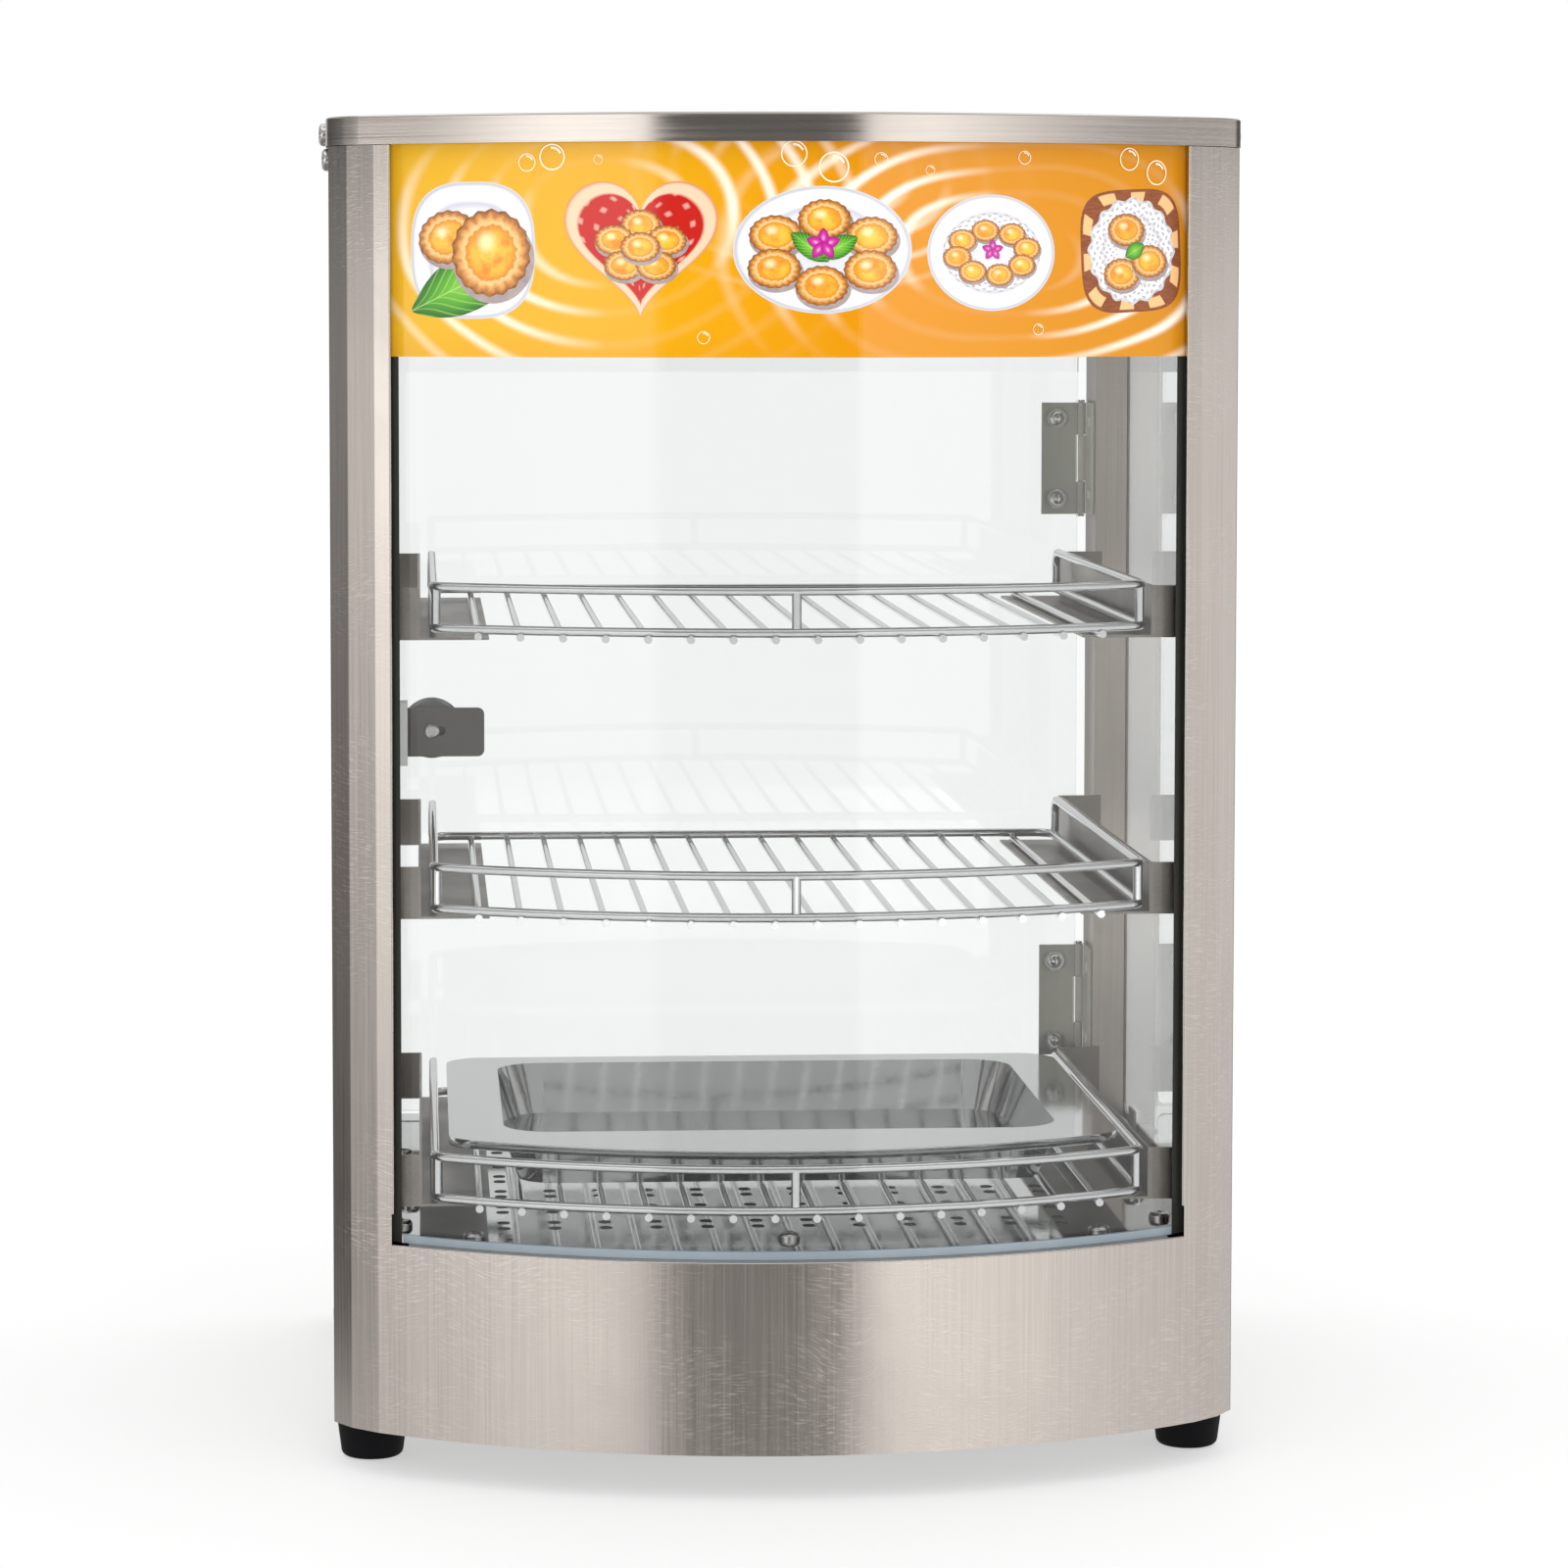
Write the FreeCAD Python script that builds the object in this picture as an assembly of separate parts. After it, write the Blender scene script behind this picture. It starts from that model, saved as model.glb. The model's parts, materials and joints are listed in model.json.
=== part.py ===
"""Countertop hot food display case with a curved glass front, three wire shelves and a rear glass door.

Frame: millimetres, +Z up, the front faces -Y, and the origin is on the counter under the centre of the
case's outline. Every separate piece is written to parts/NODE.step.
"""

import FreeCAD
import Part
import math
import os

V = FreeCAD.Vector

# ---------------------------------------------------------------- driving dimensions
HALF_WIDTH = 177.5  # outside of the side panels
FRONT_Y = -183.5  # middle of the curved front
REAR_Y = 171.5  # outside of the rear panel
FOOT_HEIGHT = 17.0
BODY_TOP = 527.0  # top of the lid
SHEET = 1.0  # thickness of the steel sheets
GAP = 0.3  # working clearance between pieces that move
SLIP = 0.2  # clearance between sheets that don't move

FRONT_RADIUS = 290.0  # outside of the curved front
ARC_HALF = 160.0  # half chord of the curved front
FACET_MID = (170.4, -126.0)  # bend between the two corner facets
FACET_END = (HALF_WIDTH, -115.1)  # bend between the outer facet and the side
POST_RETURN = 18.0  # side return of the front fascia
BEND_RADIUS = 3.0  # outside of the front sheet's bends
FOLD_RADIUS = 0.6  # outside of the folds round the window
LID_GROW = 1.1  # how far the lid's skirt stands outside the case

WINDOW_HALF = 153.6
WINDOW_SILL = 91.5  # top of the base, and of the floor plate
LIP_DEPTH = 5.0  # depth of the window's folded lips
SKIRT_DROP = 11.0  # height of the lid's skirt

BANNER_BOTTOM = 435.0
BANNER_THICK = 0.8
GLASS_THICK = 4.0
SEAL_WALL = 1.0
SEAL_REACH = 3.0  # how far a seal stands into the window

SHELF_LEVELS = {"lower": 108.6, "middle": 221.6, "upper": 330.4}  # axis of each shelf's frame wire
SHELF_HALF = 137.0
SHELF_RADIUS = 274.0
SHELF_REAR = 127.0
SHELF_CORNER = 8.0
RAIL_RISE = 16.0
FRAME_WIRE = 1.8  # radius
CROSS_WIRE = 1.5  # radius
CROSS_SET = 2.6  # depth of a cross wire's axis below the frame's
CROSS_PITCH = 16.0
CROSS_COUNT = 16
CROSS_FRONT, CROSS_BACK = 2.6, 1.6  # how far a cross wire passes the frame wire's axis

BRACKET_X = 142.0  # inner face of a bracket's side plate
LEDGE_REACH = 26.5
BRACKET_RISE = 15.0  # top of a bracket above the frame wire's axis
BRACKET_FRONT = -120.3
STIFFENER_X = 165.0  # outer side of the angles inside the front posts
POST_FRONT = 141.0  # front face of the rear posts
POST_INNER = 158.0

SIDE_GLASS_INNER = 172.2
SIDE_WINDOW = (-92.0, 146.0, 94.0, 500.0)  # front, rear, bottom, top of the opening in a side panel

DOOR_LEFT, DOOR_RIGHT = -156.5, 153.0
DOOR_BOTTOM, DOOR_TOP = 94.0, 502.0
DOOR_INNER = 162.0  # inner face of the door's glass
HINGE_X, HINGE_Y = 155.0, 168.5
HINGE_HEIGHT = 50.0
HINGE_BOTTOMS = (116.5, 361.0)
HINGE_PIN = 1.2  # radius
HINGE_BOLT_X, LEAF_EDGE_X = 143.5, 137.0
LEAF_THICK = 1.2  # hinge leaves and the strike plate
KNUCKLE = 2.4  # radius
KNOB_X, KNOB_Z = -137.0, 265.0

FOOT_X, FOOT_FRONT, FOOT_REAR = 162.7, -98.0, 152.0
ARC_CENTRE = V(0, FRONT_Y + FRONT_RADIUS, 0)

# rear controls, as X and Z of their centres on the control panel
CONTROL_Z = 56.0
DIAL_X, LAMP_X, SWITCH_X, INLET_X = 116.0, 62.0, 18.0, -104.0
DIAL_RADIUS = 17.0
ROCKER_PIVOT_Y = REAR_Y - 1.0
ROCKER_TIP = 7.0  # degrees from the middle to either end of its travel
CEILING_Z = 503.0
LAMP_AT = (-60.0, 20.0)

# food tray
TRAY_HALF, TRAY_REAR, TRAY_CORNER = 131.5, 88.0, 16.0
TRAY_RADIUS = FRONT_RADIUS - 31.0
TRAY_DEPTH = 21.5
TRAY_EDGE = 3.5  # height of the rim's turned-down edge

PARTS = {}


# ---------------------------------------------------------------- shape helpers
def box(x0, x1, y0, y1, z0, z1):
    return Part.makeBox(x1 - x0, y1 - y0, z1 - z0, V(x0, y0, z0))


def rod(start, end, radius):
    a, b = V(*start), V(*end)
    return Part.makeCylinder(radius, (b - a).Length, a, b - a)


def fused(shapes):
    first, *rest = shapes
    return first.fuse(rest).removeSplitter() if rest else first


def mirrored(shape):
    return shape.mirror(V(0, 0, 0), V(1, 0, 0))


def prism(points, z0, z1):
    """A solid over a polygon of (x, y) corners."""
    corners = [V(x, y, z0) for x, y in points]
    return Part.Face(Part.makePolygon(corners + corners[:1])).extrude(V(0, 0, z1 - z0))


def arc_y(radius, x):
    """Y of the front arc of that radius at x."""
    return ARC_CENTRE.y - math.sqrt(radius**2 - x**2)


def front_arc(radius, half, z):
    """The edge of the front arc from -half to half."""
    ends = [V(x, arc_y(radius, x), z) for x in (-half, 0, half)]
    return Part.Arc(*ends).toShape()


def curved_wall(outer, inner, x0, x1, z0, z1):
    """A wall between two radii about the front's centre, from x0 to x1."""
    middle = (x0 + x1) / 2
    out = [V(x, arc_y(outer, x), z0) for x in (x0, middle, x1)]
    back = [V(x, arc_y(inner, x), z0) for x in (x1, middle, x0)]
    edges = [
        Part.Arc(*out).toShape(),
        Part.makeLine(out[2], back[0]),
        Part.Arc(*back).toShape(),
        Part.makeLine(back[2], out[0]),
    ]
    return Part.Face(Part.Wire(edges)).extrude(V(0, 0, z1 - z0))


def d_shape(radius, half, side_y, rear_y, z0, z1):
    """A solid with a curved front, corners that run to side_y, straight sides and a flat rear."""
    corner = V(half, arc_y(radius, half), z0)
    points = [corner, V(half, side_y, z0), V(half, rear_y, z0), V(-half, rear_y, z0)]
    points += [V(-half, side_y, z0), V(-half, corner.y, z0)]
    points = [p for i, p in enumerate(points) if i == 0 or (p - points[i - 1]).Length > 0.01]
    edges = [Part.makeLine(a, b) for a, b in zip(points, points[1:])]
    edges.append(front_arc(radius, half, z0))
    return Part.Face(Part.Wire(edges)).extrude(V(0, 0, z1 - z0))


def case_outline(inset, rear_y, z0, z1):
    """The case's plan, with its faceted front corners, taken in by inset."""
    mid, end = V(*FACET_MID, z0), V(*FACET_END, z0)
    edge = V(ARC_HALF, arc_y(FRONT_RADIUS, ARC_HALF), z0)
    right = [edge, mid, end, V(end.x, rear_y, z0)]
    left = [V(-p.x, p.y, z0) for p in reversed(right)]
    points = right + left
    edges = [Part.makeLine(a, b) for a, b in zip(points, points[1:])]
    edges.append(front_arc(FRONT_RADIUS, ARC_HALF, z0))
    wire = Part.Wire(edges)
    if inset:
        wire = wire.makeOffset2D(-inset, 2)
    solid = Part.Face(wire).extrude(V(0, 0, z1 - z0))
    upright = [e for e in solid.Edges if abs(e.tangentAt(e.FirstParameter).z) > 0.9]
    bends = [e for e in upright if e.Vertexes[0].Y < FACET_END[1] + BEND_RADIUS]
    return solid.makeFillet(BEND_RADIUS - inset, bends)


def path_solid(edges, radius):
    """A round wire swept along lines and arcs that meet at tangents."""
    pieces = []
    for edge in edges:
        start = edge.valueAt(edge.FirstParameter)
        along = edge.tangentAt(edge.FirstParameter)
        section = Part.Face(Part.Wire(Part.makeCircle(radius, start, along)))
        if isinstance(edge.Curve, Part.Line):
            pieces.append(section.extrude(edge.valueAt(edge.LastParameter) - start))
        else:
            turn = math.degrees(edge.LastParameter - edge.FirstParameter)
            pieces.append(section.revolve(edge.Curve.Center, edge.Curve.Axis, turn))
    return fused(pieces)


def rounded_path(points, bends):
    """Edges through the points, with each inner corner rounded to its radius in bends."""
    points = [V(*p) for p in points]
    edges, last = [], points[0]
    for before, corner, after, bend in zip(points, points[1:], points[2:], bends):
        a, b = (before - corner).normalize(), (after - corner).normalize()
        half = a.getAngle(b) / 2
        reach = bend / math.tan(half)
        centre = corner + (a + b).normalize() * (bend / math.sin(half))
        middle = centre + (corner - centre).normalize() * bend
        edges.append(Part.makeLine(last, corner + a * reach))
        edges.append(Part.Arc(corner + a * reach, middle, corner + b * reach).toShape())
        last = corner + b * reach
    edges.append(Part.makeLine(last, points[-1]))
    return edges


def rounded_plate(x0, x1, z0, z1, y0, y1, corner):
    """A plate that faces Y, with rounded corners."""
    plate = box(x0, x1, y0, y1, z0, z1)
    upright = [e for e in plate.Edges if abs(e.tangentAt(0).y) > 0.9]
    return plate.makeFillet(corner, upright)


def pan_head(at, out, radius=3.9, height=2.6, shank=1.9, length=5.0):
    """A pan-head screw whose head stands on the point at, facing along out, with a cross recess."""
    at, out = V(*at), V(*out)
    head = Part.makeCylinder(radius, height, at, out)
    rings = [e for e in head.Edges if len(e.Vertexes) == 1]
    rim = [e for e in rings if abs((e.Curve.Center - at).Length - height) < 1e-6]
    head = head.makeFillet(height * 0.62, rim)
    side = V(0, 0, 1) if abs(out.z) < 0.5 else V(1, 0, 0)
    across = out.cross(side)
    for along in (side, across):
        half, wide, deep = radius * 0.5, radius * 0.14, height * 0.45
        low = at + out * (height - deep)
        other = out.cross(along)
        corners = [
            low + along * a * half + other * b * wide
            for a, b in ((1, 1), (-1, 1), (-1, -1), (1, -1))
        ]
        slot = Part.Face(Part.makePolygon(corners + corners[:1])).extrude(out * height)
        head = head.cut(slot)
    return head.fuse(Part.makeCylinder(shank, length, at - out * length, out)).removeSplitter()


def group(shapes):
    return Part.makeCompound(shapes)


# ---------------------------------------------------------------- case
def front_fascia():
    """One folded sheet: the base's front, the two front posts and the lips round the window."""
    rear = FACET_END[1] + POST_RETURN
    top = BODY_TOP - SKIRT_DROP - SLIP
    shell = case_outline(0, rear + 5, FOOT_HEIGHT, top)
    shell = shell.cut(case_outline(SHEET, rear + 50, FOOT_HEIGHT - 1, top + 1))
    shell = shell.cut(box(-400, 400, rear, rear + 60, 0, 600))
    shell = shell.cut(box(-WINDOW_HALF, WINDOW_HALF, -400, -90, WINDOW_SILL, top + 1))
    lip_in = FRONT_RADIUS - LIP_DEPTH
    sill = curved_wall(FRONT_RADIUS - 0.5, lip_in, -148.0, 148.0, WINDOW_SILL - SHEET, WINDOW_SILL)
    notch_top, notch = WINDOW_SILL + 12.0, 1.0
    right = curved_wall(
        FRONT_RADIUS - 0.5, lip_in, WINDOW_HALF, WINDOW_HALF + SHEET, notch_top, top
    )
    relief = box(WINDOW_HALF - 6, WINDOW_HALF + notch, -200, -100, WINDOW_SILL, notch_top)
    sheet = fused([shell, sill, right, mirrored(right)])
    sheet = sheet.cut(relief).cut(mirrored(relief))
    return sheet.makeFillet(FOLD_RADIUS, window_folds(sheet))


def window_folds(sheet):
    """The outer edges of the sheet where it folds in at the window's sill and sides."""
    folds = []
    for edge in sheet.Edges:
        low, high = edge.BoundBox.ZMin, edge.BoundBox.ZMax
        middle = edge.valueAt((edge.FirstParameter + edge.LastParameter) / 2)
        outside = abs(math.hypot(middle.x, middle.y - FRONT_Y - FRONT_RADIUS) - FRONT_RADIUS) < 0.01
        along_sill = abs(low - WINDOW_SILL) < 0.01 and high - low < 0.01 and edge.Length > 100
        beside = abs(abs(middle.x) - WINDOW_HALF) < 0.01 and high - low > 100
        if outside and (along_sill or beside):
            folds.append(edge)
    return folds


def lid():
    """A folded cap with rounded front corners, open below."""
    corner = 30.0
    radius = FRONT_RADIUS + LID_GROW

    def plan(inset, z0, z1):
        r, half, fillet = radius - inset, HALF_WIDTH + LID_GROW - inset, corner - inset
        solid = d_shape(r, half, arc_y(r, half), REAR_Y + LID_GROW - inset, z0, z1)
        front = [e for e in solid.Edges if abs(e.tangentAt(e.FirstParameter).z) > 0.9]
        front = [e for e in front if e.Vertexes[0].Y < 0]
        return solid.makeFillet(fillet, front)

    shell = plan(0, BODY_TOP - SKIRT_DROP, BODY_TOP)
    rim = [e for e in shell.Edges if min(v.Z for v in e.Vertexes) > BODY_TOP - 0.01]
    shell = shell.makeFillet(0.9, rim)
    return shell.cut(plan(SHEET, BODY_TOP - SKIRT_DROP - 1, BODY_TOP - SHEET))


def side_panel():
    """The right-hand side sheet, with the side window and a folded rear edge."""
    front = FACET_END[1] + POST_RETURN + SLIP
    y0, y1, z0, z1 = SIDE_WINDOW
    sheet = box(HALF_WIDTH - SHEET, HALF_WIDTH, front, REAR_Y, FOOT_HEIGHT, BODY_TOP - 2)
    window = box(HALF_WIDTH - 3, HALF_WIDTH + 1, y0, y1, z0, z1)
    corners = [e for e in window.Edges if abs(e.tangentAt(0).x) > 0.9]
    return sheet.cut(window.makeFillet(6.0, corners))


def side_glass():
    """The right-hand pane, behind its side panel's window."""
    y0, _, z0, z1 = SIDE_WINDOW
    rear = POST_FRONT + 23.5
    return box(SIDE_GLASS_INNER, SIDE_GLASS_INNER + GLASS_THICK, y0 - 8, rear, z0 - 2.2, z1 + 2.5)


def side_glass_clips():
    """Eight small angles that hold the side glasses against the side panels."""
    clips = []
    for y in (-60.0, 110.0):
        for z, up in ((WINDOW_SILL, 1), (CEILING_Z, -1)):
            foot = box(SIDE_GLASS_INNER - 9, SIDE_GLASS_INNER - SLIP, y - 8, y + 8, *sorted((z, z + up)))
            leg = box(SIDE_GLASS_INNER - 1.2, SIDE_GLASS_INNER - SLIP, y - 8, y + 8, *sorted((z, z + up * 9)))
            clips.append(foot.fuse(leg).removeSplitter())
    return group(clips + [mirrored(clip) for clip in clips])


def front_stiffener():
    """The right-hand angle inside a front post, which carries the shelf brackets."""
    y = BRACKET_FRONT - SHEET
    face = box(STIFFENER_X - 10.4, STIFFENER_X, y, y + SHEET, WINDOW_SILL, CEILING_Z)
    leg = box(STIFFENER_X - SHEET, STIFFENER_X, y, y + 24, WINDOW_SILL, CEILING_Z)
    return face.fuse(leg).removeSplitter()


def rear_post():
    """The right-hand rear post: a channel, open towards the side, that stands on the bottom plate."""
    top = BODY_TOP - 2
    outer = box(POST_INNER, SIDE_GLASS_INNER - SLIP, POST_FRONT, REAR_Y, FOOT_HEIGHT + SHEET, top)
    cavity = box(POST_INNER + SHEET, 400, POST_FRONT + SHEET, REAR_Y - SHEET, 0, top + 10)
    return outer.cut(cavity)


def rear_header():
    """The beam over the door: a channel, open upwards, with a stop lip for the door."""
    bottom, top = DOOR_TOP + 2.0, BODY_TOP - 2
    beam = box(-POST_INNER, POST_INNER, POST_FRONT, REAR_Y, bottom, top)
    beam = beam.cut(box(-400, 400, POST_FRONT + SHEET, REAR_Y - SHEET, bottom + SHEET, top + 5))
    stop = box(-POST_INNER, POST_INNER, DOOR_INNER - 1.6, DOOR_INNER - 0.6, bottom - 6, bottom)
    return beam.fuse(stop).removeSplitter()


def vent_slots(y0, y1, centres, length, pitch, count, z_mid):
    """Upright round-ended slots through a wall that faces Y."""
    cuts = []
    for x in centres:
        for i in range(count):
            at = x + (i - (count - 1) / 2) * pitch
            low, high = z_mid - length / 2, z_mid + length / 2
            cuts.append(box(at - 1.5, at + 1.5, y0, y1, low, high))
            cuts += [rod((at, y0, z), (at, y1, z), 1.5) for z in (low, high)]
    return cuts


def control_panel():
    """The rear sheet of the base, cut out for the controls, the inlet and the vents."""
    y0, y1 = REAR_Y - SHEET, REAR_Y
    edge = HALF_WIDTH - SHEET - SLIP
    sheet = box(-edge, edge, y0, y1, FOOT_HEIGHT + SHEET, WINDOW_SILL - SHEET - SLIP)
    for side in (-1, 1):
        x = sorted((side * (POST_INNER - SLIP), side * 300))
        sheet = sheet.cut(box(x[0], x[1], y0 - 1, y1 + 1, FOOT_HEIGHT, 400))
    cuts = [rod((DIAL_X, y0 - 1, CONTROL_Z), (DIAL_X, y1 + 1, CONTROL_Z), 4.0)]
    cuts.append(rod((LAMP_X, y0 - 1, CONTROL_Z), (LAMP_X, y1 + 1, CONTROL_Z), 5.0))
    cuts.append(box(SWITCH_X - 6.4, SWITCH_X + 6.4, y0 - 1, y1 + 1, CONTROL_Z - 10.4, CONTROL_Z + 10.4))
    cuts.append(box(INLET_X - 13.7, INLET_X + 13.7, y0 - 1, y1 + 1, CONTROL_Z - 9.9, CONTROL_Z + 9.9))
    cuts += vent_slots(y0 - 1, y1 + 1, (-46.0,), 26.0, 7.0, 8, CONTROL_Z)
    return sheet.cut(cuts)


def panel_fixings():
    """Screws round the control panel, and those of the inlet's flange."""
    spots = [(x, z) for x in (-150.0, 150.0) for z in (26.0, 84.0)] + [(0.0, 26.0), (0.0, 84.0)]
    screws = [pan_head((x, REAR_Y, z), (0, 1, 0), 3.2, 2.2, 1.5, 1.0) for x, z in spots]
    screws += [
        pan_head((INLET_X + side * 20.0, REAR_Y + 2.0, CONTROL_Z), (0, 1, 0), 2.7, 1.6, 1.4, 2.0)
        for side in (-1, 1)
    ]
    return group(screws)


def bottom_plate():
    """The underside, with vent slots along its middle."""
    plate = case_outline(SHEET + SLIP, REAR_Y - SHEET - SLIP, FOOT_HEIGHT, FOOT_HEIGHT + SHEET)
    cuts = []
    for x in range(-80, 81, 16):
        for y in (-40.0, 60.0):
            cuts.append(box(x - 2, x + 2, y, y + 40, 0, 40))
            cuts += [rod((x, e, 0), (x, e, 40), 2.0) for e in (y, y + 40)]
    for x in (-FOOT_X, FOOT_X):
        for y in (FOOT_FRONT, FOOT_REAR):
            cuts.append(rod((x, y, 0), (x, y, 40), 2.2))
    return plate.cut(cuts)


def air_hole(x, y, z0, z1):
    """A cutter for one round-ended hole of the floor, longest from front to rear."""
    radius, run = 2.5, 1.0
    left, right, front, rear = x - radius, x + radius, y - run, y + run
    outline = [
        Part.Arc(V(left, front, z0), V(x, front - radius, z0), V(right, front, z0)),
        Part.LineSegment(V(right, front, z0), V(right, rear, z0)),
        Part.Arc(V(right, rear, z0), V(x, rear + radius, z0), V(left, rear, z0)),
        Part.LineSegment(V(left, rear, z0), V(left, front, z0)),
    ]
    return Part.Face(Part.Wire([curve.toShape() for curve in outline])).extrude(V(0, 0, z1 - z0))


def floor_plate():
    """The polished floor: a sheet with paired rows of air holes, and a sill under the door."""
    z0, z1 = WINDOW_SILL - SHEET, WINDOW_SILL
    edge = SIDE_GLASS_INNER - SLIP
    radius = FRONT_RADIUS - LIP_DEPTH - SLIP
    wide = d_shape(radius, ARC_HALF - 8, arc_y(radius, ARC_HALF - 8), POST_FRONT - SLIP, z0, z1)
    wings = prism(
        [(0, -100), (ARC_HALF - 8, arc_y(radius, ARC_HALF - 8)), (edge - 4, -118), (edge, -112),
         (edge, POST_FRONT - SLIP), (0, POST_FRONT - SLIP)], z0, z1)
    sill = box(-POST_INNER + SLIP, POST_INNER - SLIP, POST_FRONT - 5, REAR_Y - SHEET - SLIP, z0, z1)
    plate = fused([wide, wings, mirrored(wings), sill])
    pair_pitch, pair_gap, columns = 34.5, 12.0, range(-110, 111, 20)
    holes = []
    for pair in range(7):
        for y in (-107.0 + pair * pair_pitch, -107.0 + pair * pair_pitch + pair_gap):
            holes += [air_hole(x, y, z0 - 1, z1 + 1) for x in columns]
    return plate.cut(holes)


def floor_screws():
    spots = [(-122.0, -127.0), (0.0, -134.0), (122.0, -127.0)]
    spots += [(side * x, y) for side in (-1, 1) for x, y in ((147.0, -54.0), (150.0, -100.0), (150.0, 60.0))]
    return group([pan_head((x, y, WINDOW_SILL), (0, 0, 1), 4.2, 2.8, 1.9, 1.0) for x, y in spots])


def ceiling_panel():
    """The inner ceiling, cut out over the lamp holder, with two rows of air slots."""
    edge = SIDE_GLASS_INNER - 4
    radius = FRONT_RADIUS - 14
    plate = d_shape(radius, 150.0, arc_y(radius, 150.0), POST_FRONT - SLIP, CEILING_Z, CEILING_Z + SHEET)
    wing = box(140, edge, -112, POST_FRONT - SLIP, CEILING_Z, CEILING_Z + SHEET)
    plate = fused([plate, wing, mirrored(wing)])
    cuts = [rod((*LAMP_AT, 400), (*LAMP_AT, 600), 10.2)]
    for x in range(-20, 101, 12):
        cuts.append(box(x - 1.5, x + 1.5, 70, 100, 400, 600))
    return plate.cut(cuts)


def front_glass():
    outer = FRONT_RADIUS - LIP_DEPTH - SLIP - BANNER_THICK - SLIP - SEAL_WALL - SLIP
    edge = WINDOW_HALF + 2.6
    return curved_wall(outer, outer - GLASS_THICK, -edge, edge, WINDOW_SILL + 1.2, CEILING_Z + 14)


def banner_panel():
    outer = FRONT_RADIUS - LIP_DEPTH - SLIP
    edge = WINDOW_HALF + 3.5
    return curved_wall(outer, outer - BANNER_THICK, -edge, edge, BANNER_BOTTOM, CEILING_Z + 14)


def glass_seal():
    """The right-hand black channel over the front glass's upright edge."""
    outer = FRONT_RADIUS - LIP_DEPTH - SLIP - BANNER_THICK - SLIP
    inner = outer - SEAL_WALL - SLIP - GLASS_THICK - SLIP - SEAL_WALL
    x0, x1 = WINDOW_HALF - SEAL_REACH, WINDOW_HALF + 4.0
    z0, z1 = WINDOW_SILL + 0.1, CEILING_Z + 14
    body = curved_wall(outer, inner, x0, x1, z0, z1)
    slot = curved_wall(outer - SEAL_WALL, inner + SEAL_WALL, x0 - 2, WINDOW_HALF + 2.8, z0 - 1, z1 + 1)
    return body.cut(slot)


def sill_bead():
    """The bead of clear sealant along the foot of the front glass."""
    outer = FRONT_RADIUS - LIP_DEPTH - SLIP
    edge = WINDOW_HALF - SEAL_REACH - 0.4
    return curved_wall(outer, outer - 2.1, -edge, edge, WINDOW_SILL + 0.05, WINDOW_SILL + 3.2)


def lid_screws():
    """Side screws: two a side through the lid's skirt, two a side under it, and three at the rear."""
    screws, upper, lower = [], BODY_TOP - 6.0, BODY_TOP - 15.7
    for side in (-1, 1):
        for y in (-92.0, 120.0):
            x = side * (HALF_WIDTH + LID_GROW)
            screws.append(pan_head((x, y, upper), (side, 0, 0), 4.4, 2.8, 1.9, 2.0))
            screws.append(pan_head((side * HALF_WIDTH, y, lower), (side, 0, 0), 4.4, 2.8, 1.9, 1.1))
    rear = REAR_Y + LID_GROW
    screws += [pan_head((x, rear, upper), (0, 1, 0), 4.0, 2.6, 1.9, 1.9) for x in (-120, 0, 120)]
    return group(screws)


def skirt_screws():
    """Screws low on the sides, which hold the bottom plate."""
    spots = [(side, y) for side in (-1, 1) for y in (30.0, 150.0)]
    return group(
        [pan_head((side * HALF_WIDTH, y, 30.0), (side, 0, 0), 3.6, 2.3, 1.7, 1.1) for side, y in spots]
    )


def foot(x, y):
    """A moulded rubber foot: tapered, with a rounded tread and a screw well."""
    cone = Part.makeCone(12.0, 14.2, FOOT_HEIGHT, V(x, y, 0), V(0, 0, 1))
    tread = [e for e in cone.Edges if len(e.Vertexes) == 1 and e.Vertexes[0].Z < 0.01]
    cone = cone.makeFillet(2.6, tread)
    return cone.cut(rod((x, y, -1), (x, y, 9), 4.6)).cut(rod((x, y, 0), (x, y, 40), 2.1))


def foot_screws():
    spots = [(x, y) for x in (-FOOT_X, FOOT_X) for y in (FOOT_FRONT, FOOT_REAR)]
    return group([pan_head((x, y, 9.0), (0, 0, -1), 4.0, 2.6, 1.95, 14.0) for x, y in spots])


# ---------------------------------------------------------------- shelves
def shelf_outline(z):
    """The closed path of a shelf's frame wire: curved front, straight sides and rear."""
    corner, half, rear, front = SHELF_CORNER, SHELF_HALF, SHELF_REAR, SHELF_RADIUS
    inner = half - corner
    centre = V(inner, ARC_CENTRE.y - math.sqrt((front - corner) ** 2 - inner**2), z)
    out = (centre - V(0, ARC_CENTRE.y, z)).normalize()
    touch = centre + out * corner
    middle = centre + (out + V(1, 0, 0)).normalize() * corner

    def turn(a, b, c):
        return Part.Arc(a, b, c).toShape()

    def flip(p):
        return V(-p.x, p.y, p.z)

    back = math.sqrt(0.5) * corner
    side_end, rear_end = V(half, rear - corner, z), V(inner, rear, z)
    rear_mid = V(inner + back, rear - corner + back, z)
    side_start = V(half, centre.y, z)
    return [
        turn(flip(touch), V(0, ARC_CENTRE.y - front, z), touch),
        turn(touch, middle, side_start),
        Part.makeLine(side_start, side_end),
        turn(side_end, rear_mid, rear_end),
        Part.makeLine(rear_end, flip(rear_end)),
        turn(flip(rear_end), flip(rear_mid), flip(side_end)),
        Part.makeLine(flip(side_end), flip(side_start)),
        turn(flip(side_start), flip(middle), flip(touch)),
    ]


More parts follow.
